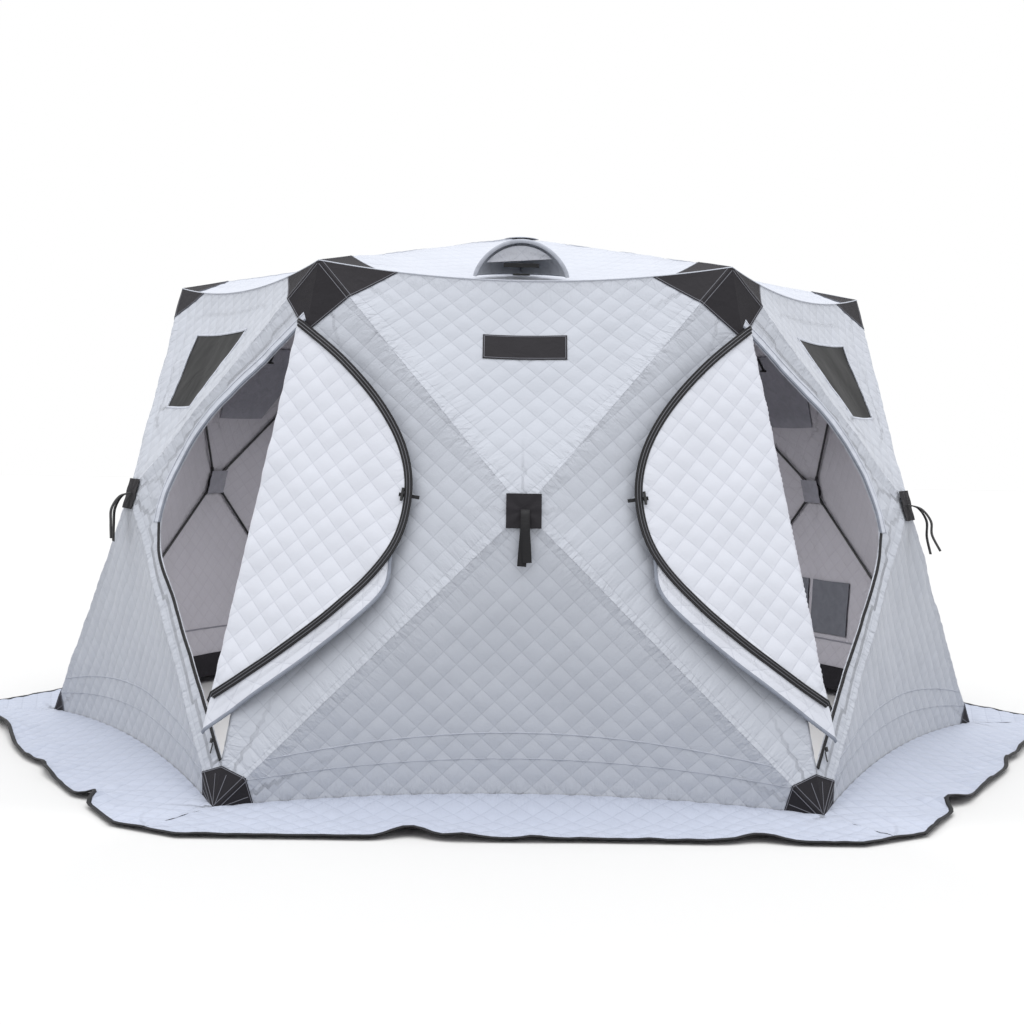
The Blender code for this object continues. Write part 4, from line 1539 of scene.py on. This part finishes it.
@dataclass
class Doors:
    """The two door panels, folded back over the front wall, with their zips and storm flaps."""

    shelter: Shelter
    lift: float = 0.006
    free_edge: Outline = (
        (-0.060, 1.706),
        (0.175, 1.550),
        (0.350, 1.392),
        (0.452, 1.240),
        (0.487, 1.085),
        (0.458, 0.915),
        (0.338, 0.738),
        (0.170, 0.570),
        (-0.114, 0.335),
    )
    flap_inner: Outline = (
        (0.466, 0.93),
        (0.432, 0.86),
        (0.338, 0.738),
        (0.193, 0.590),
        (0.039, 0.455),
        (-0.090, 0.352),
    )
    flap_outer: Outline = (
        (0.462, 0.90),
        (0.462, 0.80),
        (0.400, 0.702),
        (0.240, 0.535),
        (0.060, 0.378),
        (-0.092, 0.242),
    )
    fold_radius: float = 0.013
    zip_width: float = 0.028

    def build(self) -> None:
        """Makes both doors and both doorways' edgings."""
        for hand, side in (("left", -1), ("right", 1)):
            self.leaf(hand, side)
            self.storm_flap(hand, side)
            self.toggle(hand, side)
        for wall, side in DOOR_WALLS.items():
            self.doorway_edging(wall, side)
        LOG.info("doors hung")

    def shape(self, side: int, across: Points, up: Points, lift: float) -> Points:
        """The folded-back panel's place over the front wall, rolled round its fold at the corner."""
        fold = -0.032 - 0.040 * (1.69 - up)
        turned = np.clip((fold + self.fold_radius - across) / self.fold_radius, 0, math.pi)
        flat = np.maximum(across, fold + self.fold_radius) - self.fold_radius * np.sin(turned)
        behind = (self.fold_radius + lift) * (1 - np.cos(turned))
        billow = 0.020 * np.clip(across / 0.45, 0, 1) * np.clip(1 - across / 0.55, 0, 1) * 4
        wave = Ripples(31 + side, 0.22).at(across, up) * 0.0025
        sink = 0.014 * (1 - np.cos(turned)) * np.clip((up - 1.0) / 0.7, 0, 1)
        points = np.stack((flat, up - sink, self.lift + lift + billow + wave - behind), axis=1)
        return self.shelter.facet_points(Wall.FRONT, side, points)

    def normal(self, side: int) -> Points:
        """The outward direction of the front wall's side panel."""
        ends = self.shelter.facet_points(Wall.FRONT, side, np.array(((0, 0, 1.0), (0, 0, 0))))
        return ends[0] - ends[1]

    def leaf(self, hand: str, side: int) -> None:
        """One door: its lining and the zip tape along its free edge."""
        body = "door_" + hand
        edge = smooth_line(self.free_edge, steps=4)
        panel = Panel(
            f"door_cloth_{hand}",
            [tuple(p) for p in edge[::-1]],
            lambda a, b: self.shape(side, a, b, 0.002),
            DOOR_LINING,
            SHELL,
            DOOR_LINING,
            pitch=0.0125,
            cell=0.062,
            thickness=0.003,
            puff=0.003,
            flip=side > 0,
            held="folded",
            rests_on=["wall_front"],
        ).make()
        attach(panel, body)
        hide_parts(body)
        fine = smooth_line(self.free_edge, steps=14)
        normal = self.normal(side)
        path = self.shape(side, fine[:, 0], fine[:, 1], 0.007)
        tape = Strip(f"door_zip_tape_{hand}", path, normal, self.zip_width, 0.003, ZIP_TAPE).make()
        lines = []
        ahead = np.gradient(path, axis=0)
        beside = np.cross(ahead, normal)
        beside /= np.linalg.norm(beside, axis=1)[:, None]
        for offset in (-0.005, 0.005):
            line = path + beside * offset + normal * 0.002
            lines.append(Strip("door_zip_row", line, normal, 0.0026, 0.0026, ZIP_COIL, round_edge=True).make())
        coil = joined(f"door_zip_coil_{hand}", lines)
        for piece in (tape, coil):
            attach(piece, body)

    def storm_flap(self, hand: str, side: int) -> None:
        """The white flap below the zip and the grey piping on its outer edge."""
        inner, outer = (smooth_line(edge, steps=12) for edge in (self.flap_inner, self.flap_outer))
        count = len(inner)
        length = (run_length(inner) + run_length(outer)) / 2
        width = float(np.linalg.norm(outer - inner, axis=1).mean())

        def place(u: Points, v: Points) -> Points:
            """Runs u along the flap and v from the zip to the outer edge."""
            spot = np.clip(u / length, 0, 1) * (count - 1)
            at = [np.interp(spot, np.arange(count), line[:, k]) for line in (inner, outer) for k in (0, 1)]
            share = np.clip(v / width, 0, 1)
            across, up = at[0] + (at[2] - at[0]) * share, at[1] + (at[3] - at[1]) * share
            return self.shape(side, across, up, 0.0)

        flap = Panel(
            f"storm_flap_{hand}",
            [(0.0, 0.0), (length, 0.0), (length, width), (0.0, width)],
            place,
            DOOR_LINING,
            DOOR_LINING,
            DOOR_LINING,
            turn=0.0,
            thickness=0.002,
            puff=0.0,
            flip=side < 0,
            held="folded",
            rests_on=["wall_front"],
        ).make()
        edge = self.shape(side, outer[:, 0], outer[:, 1], 0.002)
        piping = Strip(
            f"storm_flap_piping_{hand}", edge, self.normal(side), 0.013, 0.007, GREY_BINDING, round_edge=True
        ).make()
        for piece in (flap, piping):
            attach(piece, "door_" + hand)

    def toggle(self, hand: str, side: int) -> None:
        """The toggle on the front wall that holds the door back."""
        cloth = WallCloth(self.shelter, Wall.FRONT)
        sector = Sector.RIGHT if side > 0 else Sector.LEFT
        normal = self.normal(side)
        ends = np.linspace(0.455, 0.520, 8)
        line = np.stack((ends, ends * 0 + 1.107, 0.026 - (ends - 0.455) * 0.35), axis=1)
        path = self.shelter.facet_points(Wall.FRONT, side, line)
        loop = Strip(f"door_toggle_loop_{hand}", path, normal, 0.012, 0.003, WEBBING).make()
        ups = np.linspace(1.085, 1.129, 8)
        line = np.stack((ups * 0 + 0.468, ups, ups * 0 + 0.030), axis=1)
        path = self.shelter.facet_points(Wall.FRONT, side, line)
        bar = Strip(f"door_toggle_bar_{hand}", path, normal, 0.010, 0.010, NYLON, round_edge=True).make()
        for piece in (loop, bar):
            cloth.blend(piece, sector)

    def doorway_edging(self, wall: Wall, side: int) -> None:
        """The facing, grey binding and zip round a doorway in a side wall."""
        cloth = WallCloth(self.shelter, wall)
        walls = Walls(self.shelter)
        sector = Sector.RIGHT if side > 0 else Sector.LEFT
        foot, across, up, _out = self.shelter.side_facet(side)
        normal = self.shelter.facet_points(wall, side, np.array(((0, 0, 1.0), (0, 0, 0))))
        normal = normal[0] - normal[1]
        low = smooth_line(walls.opening, steps=10)
        high = smooth_line((walls.opening[-1], *walls.opening_high), steps=10)
        specs = (
            ("facing", high, 0.020, 0.038, 0.003, FACING, 0.0030),
            ("binding", high, 0.001, 0.009, 0.006, GREY_BINDING, 0.0040),
            ("stitching", high, 0.030, 0.002, 0.001, SEAM_TAPE, 0.0050),
            ("zip", low, 0.003, 0.012, 0.004, ZIP_TAPE, 0.0035),
        )
        for name, line, outset, width, thick, finish, lift in specs:
            ahead = np.gradient(line, axis=0)
            ahead /= np.linalg.norm(ahead, axis=1)[:, None]
            moved = line + np.stack((ahead[:, 1], -ahead[:, 0]), axis=1) * outset
            local = foot + np.outer(moved[:, 0], across) + np.outer(moved[:, 1], up)
            path = cloth.shape(sector, local[:, 0], local[:, 1], lift)
            piece = Strip(f"doorway_{name}_{wall.label}", path, normal, width, thick, finish).make()
            cloth.blend(piece, sector)
        self.sliders(wall, side, normal)

    def sliders(self, wall: Wall, side: int, normal: Points) -> None:
        """The two zip sliders parked at the ends of the doorway's zip, with their pulls."""
        for name, inward, height in (("upper", 0.030, 1.692), ("lower", 0.060, 0.222)):
            spot = self.shelter.facet_points(wall, side, np.array(((inward, height, 0.008),)))[0]
            parts = []
            for size, drop in (((0.010, 0.007, 0.016), 0.0), ((0.006, 0.002, 0.034), 0.026)):
                bpy.ops.mesh.primitive_cube_add(size=1.0, location=tuple(spot + normal * 0.004 - UP * drop))
                part = bpy.context.object
                part.scale = size
                part.rotation_euler = Vector(normal).to_track_quat("-Y", "Z").to_euler()
                bpy.ops.object.transform_apply(location=True, rotation=True, scale=True)
                bevel = part.modifiers.new("edge", "BEVEL")
                bevel.width = 0.0008
                bevel.segments = 2
                bpy.ops.object.modifier_apply(modifier=bevel.name)
                part.data.materials.append(NYLON.build())
                parts.append(part)
            piece = joined(f"zip_slider_{wall.label}_{name}", parts)
            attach(piece, "shell")


@dataclass
class HubTrim:
    """The patches over each wall hub, outside and inside, and the pull strap."""

    shelter: Shelter
    patch: float = 0.116
    inner_patch: float = 0.112
    strap_width: float = 0.030

    def build(self) -> None:
        """Trims every wall hub."""
        for wall in Wall:
            self.outside(wall)
            self.inside(wall)
        LOG.info("hubs trimmed")

    def square(self, wall: Wall, x: Points, y: Points, level: float, pucker: float) -> Points:
        """A square over the hub, drawn in at its middle."""
        s = self.shelter
        reach = np.hypot(x, y)
        dip = pucker * np.exp(-((reach / 0.018) ** 2))
        folds = 0.0012 * np.sin(7 * np.arctan2(y, x)) * np.clip(reach / 0.03, 0, 1)
        local = np.stack((x, s.hub_up_wall + y, np.full_like(x, s.hub_bulge + level) - dip + folds), axis=1)
        return s.to_world(wall, local)

    def outside(self, wall: Wall) -> None:
        """The black outside patch and its pull strap."""
        half = self.patch / 2
        body = "frame_" + wall.label
        patch = Panel(
            f"hub_patch_cloth_{wall.label}",
            [(-half, -half), (half, -half), (half, half), (-half, half)],
            lambda x, y: self.square(wall, x, y, 0.005, 0.004),
            BLACK_CLOTH,
            BLACK_CLOTH,
            WEBBING,
            pitch=0.0058,
            turn=0.0,
            thickness=0.002,
            puff=0.0,
            rests_on=["wall_" + wall.label],
        ).make()
        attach(patch, body)
        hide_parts("hub_patch_" + wall.label)
        self.strap(wall, body)

    def strap(self, wall: Wall, body: str) -> None:
        """A folded strap that leaves the patch and hangs down."""
        s = self.shelter
        _origin, along, _up, out = s.axes(wall)
        root = s.to_world(wall, np.array(((0.004, s.hub_up_wall + 0.004, s.hub_bulge + 0.006),)))[0]
        level = np.array((out[0], out[1], 0.0))
        level /= np.linalg.norm(level)
        spread = {Wall.FRONT: 1.0, Wall.FRONT_RIGHT: 3.4}.get(wall, 2.8)
        tails = ((0.005, 0.172, 0.028, 0.004), (-0.003, 0.184, 0.023, -0.006))
        for number, (sway, drop, near, aside) in enumerate(tails, start=1):
            stand = near * spread
            end = stand if spread < 3 else stand * 1.3 + aside
            points = [
                root,
                root + level * stand * 0.55 - UP * 0.014,
                root + level * stand * 0.95 - UP * 0.060 + along * sway * 0.2,
                root + level * stand - UP * drop * 0.65 + along * (sway * 0.6 + aside * 0.5),
                root + level * end - UP * drop + along * (sway + aside),
            ]
            path = smooth_line(points, steps=8)
            ahead = np.gradient(path, axis=0)
            outs = np.cross(along, ahead)
            outs = outs * np.sign(outs @ level)[:, None]
            piece = Strip(
                f"pull_strap_{wall.label}_{number}", path, outs, self.strap_width, 0.002, WEBBING
            ).make()
            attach(piece, body)

    def inside(self, wall: Wall) -> None:
        """The grey inside patch that covers the hub."""
        half = self.inner_patch / 2
        patch = Panel(
            f"hub_inner_patch_{wall.label}",
            [(-half, -half), (half, -half), (half, half), (-half, half)],
            lambda x, y: self.square(wall, x, y, -0.0375, 0.0),
            INNER_PATCH,
            INNER_PATCH,
            INNER_PATCH,
            pitch=0.0075,
            turn=0.0,
            thickness=0.0025,
            puff=0.0,
            flip=True,
            rests_on=["hub_" + wall.label],
        ).make()
        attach(patch, "frame_" + wall.label)


@dataclass
class HardParts:
    """Gives the poles and hubs of the frame their finishes."""

    nodes: dict[str, bpy.types.Object] = field(default_factory=dict)

    def build(self) -> None:
        """Dresses every pole and hub."""
        for name, node in self.nodes.items():
            finish = ROD if name.startswith("pole_") else NYLON
            node.data.materials.clear()
            node.data.materials.append(finish.build())
        LOG.info("frame dressed")


@dataclass
class Studio:
    """A plain pale floor, soft light and the camera."""

    camera_place: tuple[float, float, float] = (-0.0942, -6.8396, 1.2510)
    lens: float = 55.59
    look_down: float = 0.0512
    look_right: float = 0.0108
    roll: float = 0.0164

    def build(self) -> None:
        """Sets up the floor, lights and camera."""
        self.floor()
        self.lights()
        self.camera()
        bpy.context.scene.view_settings.view_transform = "Standard"

    def floor(self) -> None:
        """The pale floor."""
        bpy.ops.mesh.primitive_plane_add(size=60, location=(0, 0, -0.002))
        floor = bpy.context.object
        floor.name = "studio_floor"
        made = bpy.data.materials.new("studio_floor")
        made.use_nodes = True
        shader = made.node_tree.nodes["Principled BSDF"]
        shader.inputs["Base Color"].default_value = (0.52, 0.52, 0.52, 1.0)
        shader.inputs["Roughness"].default_value = 0.9
        floor.data.materials.append(made)

    def lights(self) -> None:
        """A bright even sky, soft overhead daylight and a glow inside."""
        world = bpy.data.worlds.new("studio_sky")
        world.use_nodes = True
        sky = world.node_tree.nodes["Background"]
        sky.inputs["Color"].default_value = (1.0, 1.0, 1.0, 1.0)
        sky.inputs["Strength"].default_value = 1.0
        bpy.context.scene.world = world
        lamp = bpy.data.lights.new("overhead", "SUN")
        lamp.energy = 3.0
        lamp.angle = math.radians(70)
        thing = linked(bpy.data.objects.new("overhead", lamp))
        thing.rotation_euler = (math.radians(8), 0.0, 0.0)
        lamp = bpy.data.lights.new("inside", "AREA")
        lamp.size = 1.2
        lamp.energy = 48.0
        thing = linked(bpy.data.objects.new("inside", lamp))
        thing.location = (0.0, -0.3, 1.35)

    def camera(self) -> None:
        """The camera in front of the shelter."""
        data = bpy.data.cameras.new("camera")
        data.lens = self.lens
        camera = linked(bpy.data.objects.new("camera", data))
        turn = Matrix.Rotation(-self.look_right, 4, "Z") @ Matrix.Rotation(math.pi / 2 - self.look_down, 4, "X")
        camera.matrix_world = Matrix.Translation(self.camera_place) @ turn @ Matrix.Rotation(self.roll, 4, "Z")
        bpy.context.scene.camera = camera


def main() -> None:
    """Builds the shelter's looks in order."""
    logging.basicConfig(level=logging.INFO, format="%(message)s")
    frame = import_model()
    shelter = Shelter()
    Studio().build()
    HardParts(frame["nodes"]).build()
    Walls(shelter).build()
    Roof(shelter).build()
    Skirt(shelter).build()
    Doors(shelter).build()
    HubTrim(shelter).build()
    CornerPatches(shelter).build()


if __name__ == "__main__":
    main()
